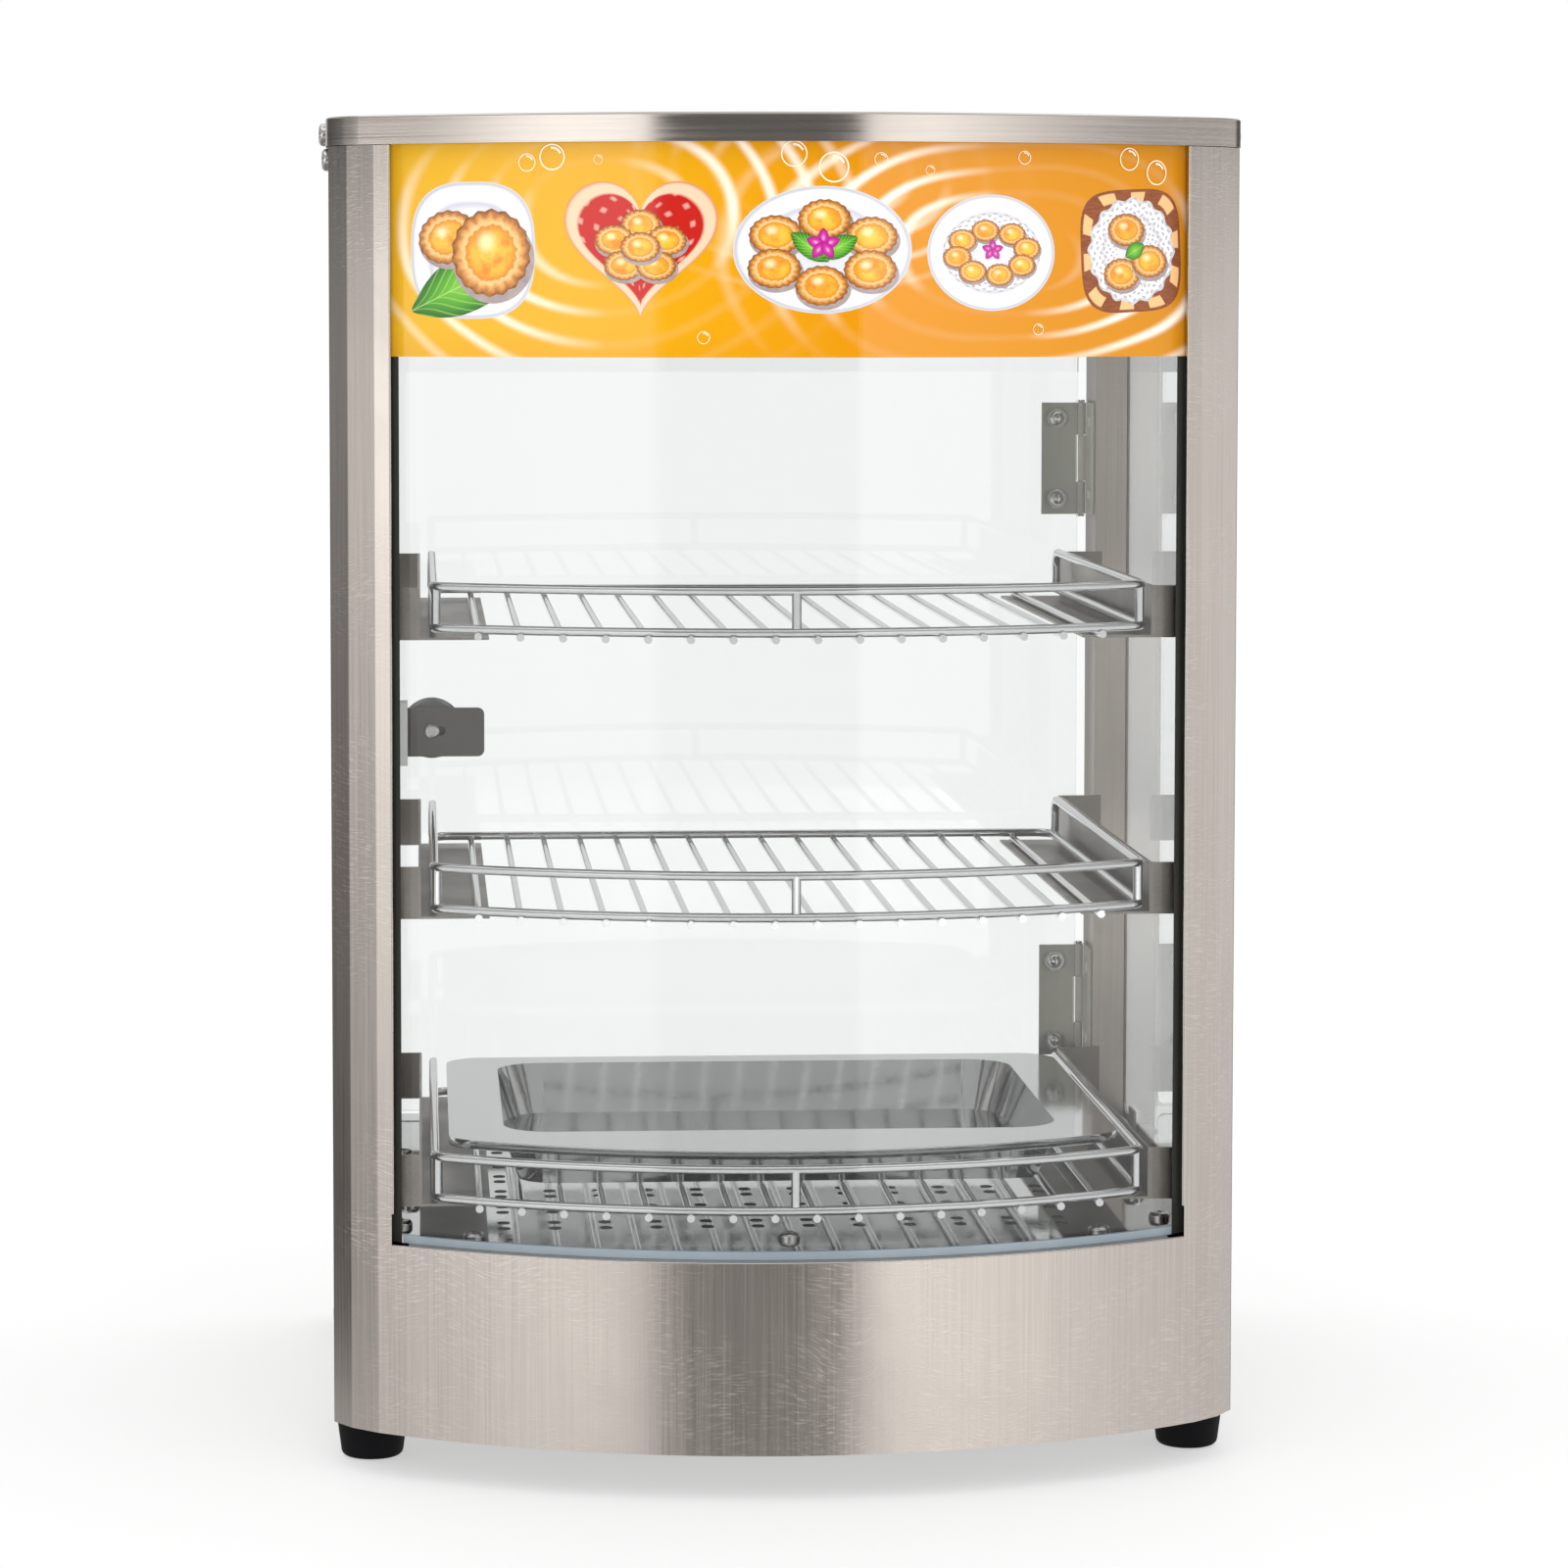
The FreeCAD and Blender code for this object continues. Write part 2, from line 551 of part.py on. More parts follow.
def shelf_grid():
    """The flat grid of a shelf, with its frame wire's axis at height 0."""
    frame = path_solid(shelf_outline(0), FRAME_WIRE)
    wires = []
    for i in range(CROSS_COUNT):
        x = (i - (CROSS_COUNT - 1) / 2) * CROSS_PITCH
        front = arc_y(SHELF_RADIUS, x) - CROSS_FRONT
        wires.append(rod((x, front, -CROSS_SET), (x, SHELF_REAR + CROSS_BACK, -CROSS_SET), CROSS_WIRE))
    return frame.fuse(wires)


def shelf_rail():
    """The guard rail of a shelf: one wire down both sides and round the front, on three legs."""
    z = RAIL_RISE
    loop = shelf_outline(z)
    half, rear, bend = SHELF_HALF, SHELF_REAR - 12.0, 6.0
    foot_z = FRAME_WIRE * 0.9
    touch = loop[2].valueAt(loop[2].FirstParameter)
    ends = []
    for side in (1, -1):
        points = [(side * half, touch.y, z), (side * half, rear, z), (side * half, rear, foot_z)]
        ends += rounded_path(points, [bend])
    wire = path_solid([loop[0], loop[1], loop[7]] + ends, FRAME_WIRE)
    corner = loop[1].valueAt((loop[1].FirstParameter + loop[1].LastParameter) / 2)
    legs = [rod((x, y, foot_z), (x, y, z), FRAME_WIRE) for x, y in
            ((0, arc_y(SHELF_RADIUS, 0)), (corner.x, corner.y), (-corner.x, corner.y))]
    return fused([wire] + legs)


def shelf_bracket(level):
    """The right-hand bracket of one shelf: a side plate with a ledge and two end flanges."""
    low = level - CROSS_SET - CROSS_WIRE - GAP - SHEET
    top = level + BRACKET_RISE
    x = BRACKET_X
    side = box(x, x + SHEET, BRACKET_FRONT, POST_FRONT, low, top)
    ledge = box(x - LEDGE_REACH, x + SHEET, BRACKET_FRONT, POST_FRONT - 3, low, low + SHEET)
    front = box(x, STIFFENER_X - SHEET - 0.3, BRACKET_FRONT, BRACKET_FRONT + SHEET, low, top)
    rear = box(x, POST_INNER + 3.0, POST_FRONT - SHEET, POST_FRONT, low, top)
    rivet_y = BRACKET_FRONT + SHEET
    rivet = rod((x + 17, rivet_y, level + 6), (x + 17, rivet_y + 1.2, level + 6), 2.6)
    return fused([side, ledge, front, rear, rivet])


# ---------------------------------------------------------------- food tray
def tray_outline(inset, z0, z1):
    """The tray's rim in plan: a curved front with rounded corners and a straight rear."""
    half, radius = TRAY_HALF - inset, TRAY_RADIUS - inset
    solid = d_shape(radius, half, arc_y(radius, half), TRAY_REAR - inset, z0, z1)
    upright = [e for e in solid.Edges if abs(e.tangentAt(e.FirstParameter).z) > 0.9]
    return solid.makeFillet(TRAY_CORNER - inset, upright)


def rounded_rectangle(x, y0, y1, corner, z):
    """The outline of a rectangle from -x to x, with rounded corners, at height z."""
    plate = box(-x, x, y0, y1, z, z + 1)
    upright = [e for e in plate.Edges if abs(e.tangentAt(0).z) > 0.9]
    solid = plate.makeFillet(corner, upright)
    return min(solid.Faces, key=lambda f: f.CenterOfMass.z).OuterWire


def food_tray():
    """A pressed tray: a curved rim with a turned-down edge round a square, tapered well."""
    floor = SHELF_LEVELS["lower"] - CROSS_SET + CROSS_WIRE + GAP
    rim = floor + TRAY_DEPTH
    rim_plate = tray_outline(0, rim - SHEET, rim)
    edge = tray_outline(0, rim - TRAY_EDGE, rim).cut(tray_outline(SHEET, rim - TRAY_EDGE - 1, rim + 1))

    def well(inset, low, high):
        wires = [
            rounded_rectangle(104 - inset, -98 + inset, 66 - inset, 15 - inset, low),
            rounded_rectangle(111 - inset, -105 + inset, 73 - inset, 20 - inset, high),
        ]
        return Part.makeLoft(wires, True, True)

    outer, inner = well(0, floor, rim - SHEET / 2), well(SHEET, floor + SHEET, rim + 0.5)
    return fused([rim_plate, edge, outer]).cut(inner)


# ---------------------------------------------------------------- door
def door_glass():
    pane = box(DOOR_LEFT, DOOR_RIGHT, DOOR_INNER, DOOR_INNER + GLASS_THICK, DOOR_BOTTOM, DOOR_TOP)
    upright = [e for e in pane.Edges if abs(e.tangentAt(0).y) > 0.9]
    pane = pane.makeFillet(3.0, upright)
    holes = [(KNOB_X, KNOB_Z, 2.6)]
    holes += [(x, z, 2.1) for x, z in hinge_bolt_spots()]
    for x, z, r in holes:
        pane = pane.cut(rod((x, DOOR_INNER - 1, z), (x, DOOR_INNER + GLASS_THICK + 1, z), r))
    return pane


def hinge_bolt_spots():
    return [(HINGE_BOLT_X, low + z) for low in HINGE_BOTTOMS for z in (7.0, HINGE_HEIGHT - 7.0)]


def knuckle(z0, z1):
    tube = rod((HINGE_X, HINGE_Y, z0), (HINGE_X, HINGE_Y, z1), KNUCKLE)
    return tube.cut(rod((HINGE_X, HINGE_Y, z0 - 1), (HINGE_X, HINGE_Y, z1 + 1), HINGE_PIN + 0.05))


def hinge_leaf_door(low):
    """The leaf bolted to the door, with the hinge's upper and lower knuckles."""
    y0, y1 = DOOR_INNER + GLASS_THICK, DOOR_INNER + GLASS_THICK + LEAF_THICK
    high, third = low + HINGE_HEIGHT, HINGE_HEIGHT * 0.29
    leaf = box(LEAF_EDGE_X, HINGE_X - 2.6, y0, y1, low, high)
    pieces = [leaf]
    for z0, z1 in ((low, low + third), (high - third, high)):
        pieces += [box(HINGE_X - 2.7, HINGE_X - 1.0, y0, y1, z0, z1), knuckle(z0, z1)]
    bore = rod((HINGE_X, HINGE_Y, low - 1), (HINGE_X, HINGE_Y, high + 1), HINGE_PIN + 0.05)
    shape = fused(pieces).cut(bore)
    for x, z in hinge_bolt_spots():
        shape = shape.cut(rod((x, y0 - 1, z), (x, y1 + 1, z), 2.1))
    return shape


def hinge_leaf_post(low):
    """The leaf riveted to the rear post, with the hinge's middle knuckle."""
    high, third = low + HINGE_HEIGHT, HINGE_HEIGHT * 0.29
    z0, z1 = low + third + GAP, high - third - GAP
    x0, x1 = POST_INNER - LEAF_THICK, POST_INNER
    leaf = box(x0, x1, 147.0, 163.5, low, high)
    tongue = box(x0, x1 - 0.2, 163.0, HINGE_Y - 0.6, z0, z1)
    bore = rod((HINGE_X, HINGE_Y, low - 1), (HINGE_X, HINGE_Y, high + 1), HINGE_PIN + 0.05)
    shape = fused([leaf, tongue, knuckle(z0, z1)]).cut(bore)
    rivets = [rod((x0 - 0.9, 152.5, z), (x0, 152.5, z), 2.4) for z in (low + 9, high - 9)]
    return fused([shape] + rivets)


def hinge_pin(low):
    pin = rod((HINGE_X, HINGE_Y, low - 0.6), (HINGE_X, HINGE_Y, low + HINGE_HEIGHT + 0.6), HINGE_PIN)
    caps = [rod((HINGE_X, HINGE_Y, z), (HINGE_X, HINGE_Y, z + 0.8), 1.9)
            for z in (low - 1.1, low + HINGE_HEIGHT + 0.3)]
    return fused([pin] + caps)


def hinge_bolts():
    """Bolts through the door and its leaves, with domed nuts inside."""
    bolts = []
    for x, z in hinge_bolt_spots():
        y_leaf, y_in = DOOR_INNER + GLASS_THICK + LEAF_THICK, DOOR_INNER
        head = rod((x, y_leaf, z), (x, y_leaf + 1.6, z), 3.4)
        shank = rod((x, y_in, z), (x, y_leaf, z), 2.0)
        washer = rod((x, y_in - 0.6, z), (x, y_in, z), 4.4)
        dome = Part.makeSphere(3.1, V(x, y_in - 1.4, z))
        dome = dome.common(box(x - 9, x + 9, y_in - 9, y_in - 0.6, z - 9, z + 9))
        bolts.append(fused([head, shank, washer, dome]))
    return group(bolts)


def door_knob():
    """A turned knob outside the door: a broad face on a narrow neck."""
    profile = [(2.2, 0.0), (8.0, 0.0), (8.0, 1.6), (5.6, 4.0), (5.6, 7.5), (12.2, 11.0), (13.6, 12.6),
               (13.6, 16.2), (12.4, 18.0), (2.2, 18.5)]
    y0 = DOOR_INNER + GLASS_THICK
    points = [V(KNOB_X + r, y0 + h, KNOB_Z) for r, h in profile]
    face = Part.Face(Part.makePolygon(points + points[:1]))
    knob = face.revolve(V(KNOB_X, 0, KNOB_Z), V(0, 1, 0), 360)
    return knob.fuse(rod((KNOB_X, y0 + 9, KNOB_Z), (KNOB_X, y0 + 18.5, KNOB_Z), 2.3)).removeSplitter()


def strike_plate():
    """The steel plate inside the door that the magnet holds, with its slotted hole."""
    plate = rounded_plate(-155.5, -113.6, 253.6, 275.4, DOOR_INNER - LEAF_THICK, DOOR_INNER - 0.05, 3.0)
    slot = box(KNOB_X - 1, KNOB_X + 4, DOOR_INNER - 2, DOOR_INNER + 1, KNOB_Z - 2.2, KNOB_Z + 2.2)
    y0, y1 = DOOR_INNER - 2, DOOR_INNER + 1
    ends = [rod((x, y0, KNOB_Z), (x, y1, KNOB_Z), 2.2) for x in (KNOB_X - 1, KNOB_X + 4)]
    return plate.cut([slot] + ends)


def knob_screw():
    face = DOOR_INNER - LEAF_THICK
    return pan_head((KNOB_X, face, KNOB_Z), (0, -1, 0), 3.6, 2.4, 1.9, 13.0)


def door_magnet():
    """The magnetic catch on the left-hand rear post: a plastic body with a steel-faced magnet."""
    y1 = DOOR_INNER - LEAF_THICK - GAP
    body = box(-POST_INNER, -POST_INNER + 10.0, y1 - 16.0, y1 - 1.5, KNOB_Z - 14, KNOB_Z + 14)
    pole = box(-POST_INNER + 2.0, -POST_INNER + 8.5, y1 - 2.5, y1, KNOB_Z - 9, KNOB_Z + 9)
    return fused([body, pole])


# ---------------------------------------------------------------- heater, lamp and controls
def heating_element():
    """A sheathed element bent into a hairpin of four runs under the floor."""
    z, front, rear = 68.0, -95.0, 110.0
    xs = (-84.0, -28.0, 28.0, 84.0)
    points = [(xs[0], 148.0, z), (xs[0], front, z), (xs[1], front, z), (xs[1], rear, z),
              (xs[2], rear, z), (xs[2], front, z), (xs[3], front, z), (xs[3], 148.0, z)]
    tube = path_solid(rounded_path(points, [24.0] * 6), 3.3)
    ends = [rod((x, 147.5, z), (x, 158.0, z), 1.6) for x in (xs[0], xs[3])]
    collars = [rod((x, 138.0, z), (x, 147.0, z), 5.0) for x in (xs[0], xs[3])]
    return fused([tube] + ends + collars)


def element_supports():
    """Two folded bars that carry the element over the heat shield."""
    bars = []
    for y in (-60.0, 80.0):
        web = box(-104, 104, y - 6, y + 6, 62.5, 63.7)
        legs = [box(x, x + 1.2, y - 6, y + 6, 31.0, 62.8) for x in (-104.0, 102.8)]
        feet = [box(x, x + 12, y - 6, y + 6, 31.0, 32.2) for x in (-104.0, 92.0)]
        bars.append(fused([web] + legs + feet))
    return group(bars)


def heat_shield():
    """A shallow folded pan between the element and the bottom plate."""
    pan = box(-140, 140, -118, 132, 29.8, 46.0)
    pan = pan.cut(box(-139, 139, -117, 131, 30.8, 60.0))
    spots = [(x, y) for x in (-120, 120) for y in (-90, 100)]
    feet = [box(x - 6, x + 6, y - 6, y + 6, FOOT_HEIGHT + SHEET, 29.9) for x, y in spots]
    return fused([pan] + feet)


def thermostat_body():
    """The thermostat behind the panel, with its bush and D shaft."""
    y = REAR_Y - SHEET
    case = box(DIAL_X - 17, DIAL_X + 17, y - 20, y - 1.0, CONTROL_Z - 15, CONTROL_Z + 15)
    case = case.makeFillet(1.5, [e for e in case.Edges if abs(e.tangentAt(0).y) > 0.9])
    flange = rod((DIAL_X, y - 1.2, CONTROL_Z), (DIAL_X, y - 0.1, CONTROL_Z), 9.0)
    bush = rod((DIAL_X, y - 1, CONTROL_Z), (DIAL_X, REAR_Y + 1.2, CONTROL_Z), 3.9)
    shaft = rod((DIAL_X, REAR_Y, CONTROL_Z), (DIAL_X, REAR_Y + 9.0, CONTROL_Z), 3.0)
    tags = [box(x, x + 0.8, y - 27, y - 19.5, CONTROL_Z - 4, CONTROL_Z + 4) for x in (DIAL_X - 9, DIAL_X + 9)]
    return fused([case, flange, bush, shaft] + tags)


def thermostat_probe():
    """The capillary tube and the bulb that it ends in, clipped under the floor."""
    y = REAR_Y - SHEET - 20.0
    route = [(DIAL_X, y, CONTROL_Z + 8), (DIAL_X, y - 17, CONTROL_Z + 8),
             (DIAL_X + 30, y - 33, CONTROL_Z + 20), (DIAL_X + 30, 40.0, CONTROL_Z + 24)]
    tube = path_solid(rounded_path(route, [9.0, 12.0]), 0.9)
    bulb = rod((DIAL_X + 30, 41.0, CONTROL_Z + 24), (DIAL_X + 30, -50.0, CONTROL_Z + 24), 3.0)
    return fused([tube, bulb])


def thermostat_knob():
    """The dial: a skirted knob with a ribbed grip and a pointer line."""
    y0 = REAR_Y + 1.5
    skirt = Part.makeCone(DIAL_RADIUS, DIAL_RADIUS - 1.2, 2.6, V(DIAL_X, y0, CONTROL_Z), V(0, 1, 0))
    grip = Part.makeCone(12.2, 11.2, 8.2, V(DIAL_X, y0 + 2.4, CONTROL_Z), V(0, 1, 0))
    for i in range(18):
        a = math.radians(i * 20 + 10)
        x, z = DIAL_X + 12.9 * math.cos(a), CONTROL_Z + 12.9 * math.sin(a)
        grip = grip.cut(rod((x, y0 + 2.6, z), (x, y0 + 12, z), 1.4))
    knob = skirt.fuse(grip)
    pointer = box(DIAL_X - 0.7, DIAL_X + 0.7, y0 + 2.0, y0 + 3.1, CONTROL_Z + 11.5, CONTROL_Z + 15.2)
    bore = rod((DIAL_X, y0 - 1, CONTROL_Z), (DIAL_X, REAR_Y + 9.3, CONTROL_Z), 3.0 + GAP)
    return knob.fuse(pointer).cut(bore)


def indicator_lamp():
    """The pilot light: a domed lens in a threaded body."""
    body = rod((LAMP_X, REAR_Y - 16, CONTROL_Z), (LAMP_X, REAR_Y, CONTROL_Z), 4.8)
    rim = rod((LAMP_X, REAR_Y, CONTROL_Z), (LAMP_X, REAR_Y + 1.6, CONTROL_Z), 6.6)
    dome = Part.makeSphere(5.4, V(LAMP_X, REAR_Y - 0.6, CONTROL_Z))
    dome = dome.common(box(LAMP_X - 9, LAMP_X + 9, REAR_Y + 1.0, REAR_Y + 9, CONTROL_Z - 9, CONTROL_Z + 9))
    return fused([body, rim, dome])


def switch_body():
    """The rocker switch's frame and body, open where the rocker sits."""
    x, z = SWITCH_X, CONTROL_Z
    bezel = rounded_plate(x - 8, x + 8, z - 12.5, z + 12.5, REAR_Y, REAR_Y + 1.8, 1.5)
    body = box(x - 6.2, x + 6.2, REAR_Y - 17, REAR_Y + 0.2, z - 10.2, z + 10.2)
    well = box(x - 4.9, x + 4.9, REAR_Y - 7, REAR_Y + 9, z - 8.9, z + 8.9)
    tags = [box(x - 2.4, x + 2.4, REAR_Y - 24, REAR_Y - 16.5, z + d, z + d + 0.8) for d in (-7, 0, 6)]
    return fused([bezel.fuse(body).cut(well)] + tags)


def switch_rocker():
    """The rocker, tipped to off: two shallow slopes that meet over its pivot."""
    x, z, half = SWITCH_X, CONTROL_Z, 7.9
    outline = [(-half, -1.0), (-half, 2.8), (0.0, 1.4), (half, 2.8), (half, -1.0), (0.0, -5.0)]
    points = [V(x - 4.6, REAR_Y + 0.6 + out, z + up) for up, out in outline]
    rocker = Part.Face(Part.makePolygon(points + points[:1])).extrude(V(9.2, 0, 0))
    return rocker.rotate(V(x, ROCKER_PIVOT_Y, z), V(1, 0, 0), -ROCKER_TIP)


def power_inlet():
    """The mains inlet: a flanged socket with three pins in a keyed well."""
    x, z = INLET_X, CONTROL_Z
    flange = rounded_plate(x - 25, x + 25, z - 12, z + 12, REAR_Y, REAR_Y + 2.0, 5.0)
    body = box(x - 13.5, x + 13.5, REAR_Y - 24, REAR_Y + 0.5, z - 9.7, z + 9.7)
    well = [(-12, -8.2), (12, -8.2), (12, 4.2), (8.0, 8.2), (-8.0, 8.2), (-12, 4.2)]
    points = [V(x + a, REAR_Y - 16, z + b) for a, b in well]
    cavity = Part.Face(Part.makePolygon(points + points[:1])).extrude(V(0, 30, 0))
    shape = flange.fuse(body).cut(cavity)
    pins = [box(x + a - 1.0, x + a + 1.0, REAR_Y - 17, REAR_Y - 1.0, z + b - 2, z + b + 2)
            for a, b in ((-7, -2), (0, 2), (7, -2))]
    tags = [box(x + a - 0.4, x + a + 0.4, REAR_Y - 32, REAR_Y - 23.5, z + b - 2.4, z + b + 2.4)
            for a, b in ((-7, -2), (0, 2), (7, -2))]
    holes = [rod((x + a, REAR_Y - 5, z), (x + a, REAR_Y + 5, z), 1.5) for a in (-20, 20)]
    return fused([shape] + pins + tags).cut(holes)


def terminal_block():
    """A six-way screw terminal block on the bottom plate."""
    x0, y0, z0 = -60.0, 140.0, FOOT_HEIGHT + SHEET
    block = box(x0, x0 + 54, y0 + 1, y0 + 17, z0, z0 + 11)
    for i in range(6):
        x = x0 + 4.5 + i * 9
        block = block.cut(rod((x, y0 + 5, z0 + 6), (x, y0 + 5, z0 + 20), 2.2))
        block = block.cut(rod((x, y0 + 13, z0 + 6), (x, y0 + 13, z0 + 20), 2.2))
        block = block.cut(rod((x, y0, z0 + 4), (x, y0 + 20, z0 + 4), 1.6))
    return block


def lamp_holder():
    """The ceramic holder that hangs the lamp through the ceiling."""
    x, y = LAMP_AT
    upper = rod((x, y, CEILING_Z - 4), (x, y, CEILING_Z + 17), 10.0)
    flange = rod((x, y, CEILING_Z - 5), (x, y, CEILING_Z - 0.1), 14.0)
    socket = rod((x, y, CEILING_Z - 9), (x, y, CEILING_Z + 12), 7.2)
    return fused([upper, flange]).cut(socket)


def lamp_bulb():
    """A small oven lamp: a threaded cap and a pear-shaped bulb."""
    x, y = LAMP_AT
    profile = [(0, 11.5), (3.0, 11.5), (6.6, 8.0), (6.6, -6.0), (8.0, -10.0), (11.0, -18.0), (12.5, -26.0),
               (11.0, -33.0), (7.0, -38.0), (0, -40.0)]
    points = [V(x + r, y, CEILING_Z + h) for r, h in profile]
    face = Part.Face(Part.makePolygon(points + points[:1]))
    return face.revolve(V(x, y, 0), V(0, 0, 1), 360)


# ---------------------------------------------------------------- assembly
# sheets and the screws that they are drilled for
DRILLED = (
    ("control_panel", "panel_fixings"),
    ("floor_plate", "floor_screws"),
    ("lid", "lid_screws"),
    ("rear_header", "lid_screws"),
    ("side_panel_left", "lid_screws"),
    ("side_panel_right", "lid_screws"),
    ("side_panel_left", "skirt_screws"),
    ("side_panel_right", "skirt_screws"),
)


SINGLE = (
    front_fascia, lid, side_glass_clips, rear_header, control_panel, panel_fixings, bottom_plate, floor_plate,
    floor_screws, ceiling_panel, front_glass, banner_panel, sill_bead, lid_screws, skirt_screws, foot_screws,
    food_tray, door_glass, hinge_bolts, door_knob, strike_plate, knob_screw, door_magnet, heating_element,
    element_supports, heat_shield, thermostat_body, thermostat_probe, thermostat_knob, indicator_lamp,
    switch_body, switch_rocker, power_inlet, terminal_block, lamp_holder, lamp_bulb,
)
PAIRED = (side_panel, side_glass, front_stiffener, rear_post, glass_seal)


def build():
    for make in SINGLE:
        PARTS[make.__name__] = make()
    for make in PAIRED:
        PARTS[make.__name__ + "_right"] = make()
        PARTS[make.__name__ + "_left"] = mirrored(PARTS[make.__name__ + "_right"])
    PARTS["feet"] = group([foot(x, y) for x in (-FOOT_X, FOOT_X) for y in (FOOT_FRONT, FOOT_REAR)])
    grid = shelf_grid()
    rail = shelf_rail().cut(grid)
    for name, level in SHELF_LEVELS.items():
        up = V(0, 0, level)
        PARTS[f"shelf_grid_{name}"] = grid.translated(up)
        PARTS[f"shelf_rail_{name}"] = rail.translated(up)
        PARTS[f"shelf_brackets_{name}"] = group([shelf_bracket(level), mirrored(shelf_bracket(level))])
    PARTS["hinge_leaves_door"] = group([hinge_leaf_door(low) for low in HINGE_BOTTOMS])
    PARTS["hinge_leaves_post"] = group([hinge_leaf_post(low) for low in HINGE_BOTTOMS])
    PARTS["hinge_pins"] = group([hinge_pin(low) for low in HINGE_BOTTOMS])
    for sheet, screws in DRILLED:
        PARTS[sheet] = PARTS[sheet].cut(PARTS[screws].Solids)


def export():
    os.makedirs("parts", exist_ok=True)
    for name, shape in PARTS.items():
        solids = shape.Solids
        print(name, "solids", len(solids), "valid", shape.isValid(), "volume", round(shape.Volume))
        shape = solids[0] if len(solids) == 1 else group(solids)
        shape.exportStep(f"parts/{name}.step")
    print(len(PARTS), "nodes")


build()
export()
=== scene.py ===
"""Looks of the hot food display case: its materials, the header's print, the floor, light and camera."""

import json
import math

import bmesh
import bpy
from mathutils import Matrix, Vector

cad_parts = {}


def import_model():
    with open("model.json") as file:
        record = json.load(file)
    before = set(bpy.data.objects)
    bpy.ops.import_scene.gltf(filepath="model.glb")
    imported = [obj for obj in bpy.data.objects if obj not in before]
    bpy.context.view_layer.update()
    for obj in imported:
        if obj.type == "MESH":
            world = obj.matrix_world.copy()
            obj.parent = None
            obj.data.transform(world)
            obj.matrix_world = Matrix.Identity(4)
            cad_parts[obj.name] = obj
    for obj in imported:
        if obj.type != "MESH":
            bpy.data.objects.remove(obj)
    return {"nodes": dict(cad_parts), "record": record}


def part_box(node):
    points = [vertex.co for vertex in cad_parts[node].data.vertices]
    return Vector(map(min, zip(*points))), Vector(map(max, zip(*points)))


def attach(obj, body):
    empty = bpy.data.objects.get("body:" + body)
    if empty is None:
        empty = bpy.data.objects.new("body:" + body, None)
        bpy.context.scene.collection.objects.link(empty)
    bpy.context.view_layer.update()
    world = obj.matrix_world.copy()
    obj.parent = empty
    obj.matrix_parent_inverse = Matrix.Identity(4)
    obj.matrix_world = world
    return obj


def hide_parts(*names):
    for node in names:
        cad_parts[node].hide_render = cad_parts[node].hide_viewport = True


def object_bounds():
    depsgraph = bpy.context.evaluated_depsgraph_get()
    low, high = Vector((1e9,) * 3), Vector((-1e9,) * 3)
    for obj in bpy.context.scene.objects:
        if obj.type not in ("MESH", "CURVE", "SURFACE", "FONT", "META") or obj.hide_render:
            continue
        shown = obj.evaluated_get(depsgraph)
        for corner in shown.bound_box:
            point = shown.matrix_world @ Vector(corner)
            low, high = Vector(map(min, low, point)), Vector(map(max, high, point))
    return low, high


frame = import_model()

MM = 0.001
cad_low, cad_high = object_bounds()


# ---------------------------------------------------------------- node helpers
class Tree:
    """A node tree, with short ways to add nodes to it."""

    def __init__(self, tree):
        self.tree = tree

    def add(self, kind, **settings):
        node = self.tree.nodes.new(kind)
        for key, value in settings.items():
            setattr(node, key, value)
        return node

    def link(self, source, target):
        self.tree.links.new(source, target)

    def feed(self, socket, value):
        """Sets socket to a number or a colour, or links it to another node's output."""
        if isinstance(value, (int, float)):
            socket.default_value = value
        elif isinstance(value, tuple):
            socket.default_value = (*value, 1)
        else:
            self.link(value, socket)

    def axes(self, vector):
        """The X, Y and Z of a vector, by name."""
        parts = self.add("ShaderNodeSeparateXYZ")
        self.link(vector, parts.inputs[0])
        return parts.outputs

    def math(self, operation, *values):
        node = self.add("ShaderNodeMath", operation=operation)
        for socket, value in zip(node.inputs, values):
            self.feed(socket, value)
        return node.outputs[0]

    def mix(self, factor, a, b):
        node = self.add("ShaderNodeMix", data_type="RGBA")
        for socket, value in zip((node.inputs[0], node.inputs[6], node.inputs[7]), (factor, a, b)):
            self.feed(socket, value)
        return node.outputs[2]

    def ramp(self, factor, *stops):
        """Colours along factor, from stops of (position, colour)."""
        node = self.add("ShaderNodeValToRGB")
        elements = node.color_ramp.elements
        while len(elements) < len(stops):
            elements.new(0.5)
        for element, (position, colour) in zip(elements, stops):
            element.position = position
            element.color = (*colour, 1)
        self.link(factor, node.inputs["Fac"])
        return node.outputs["Color"]


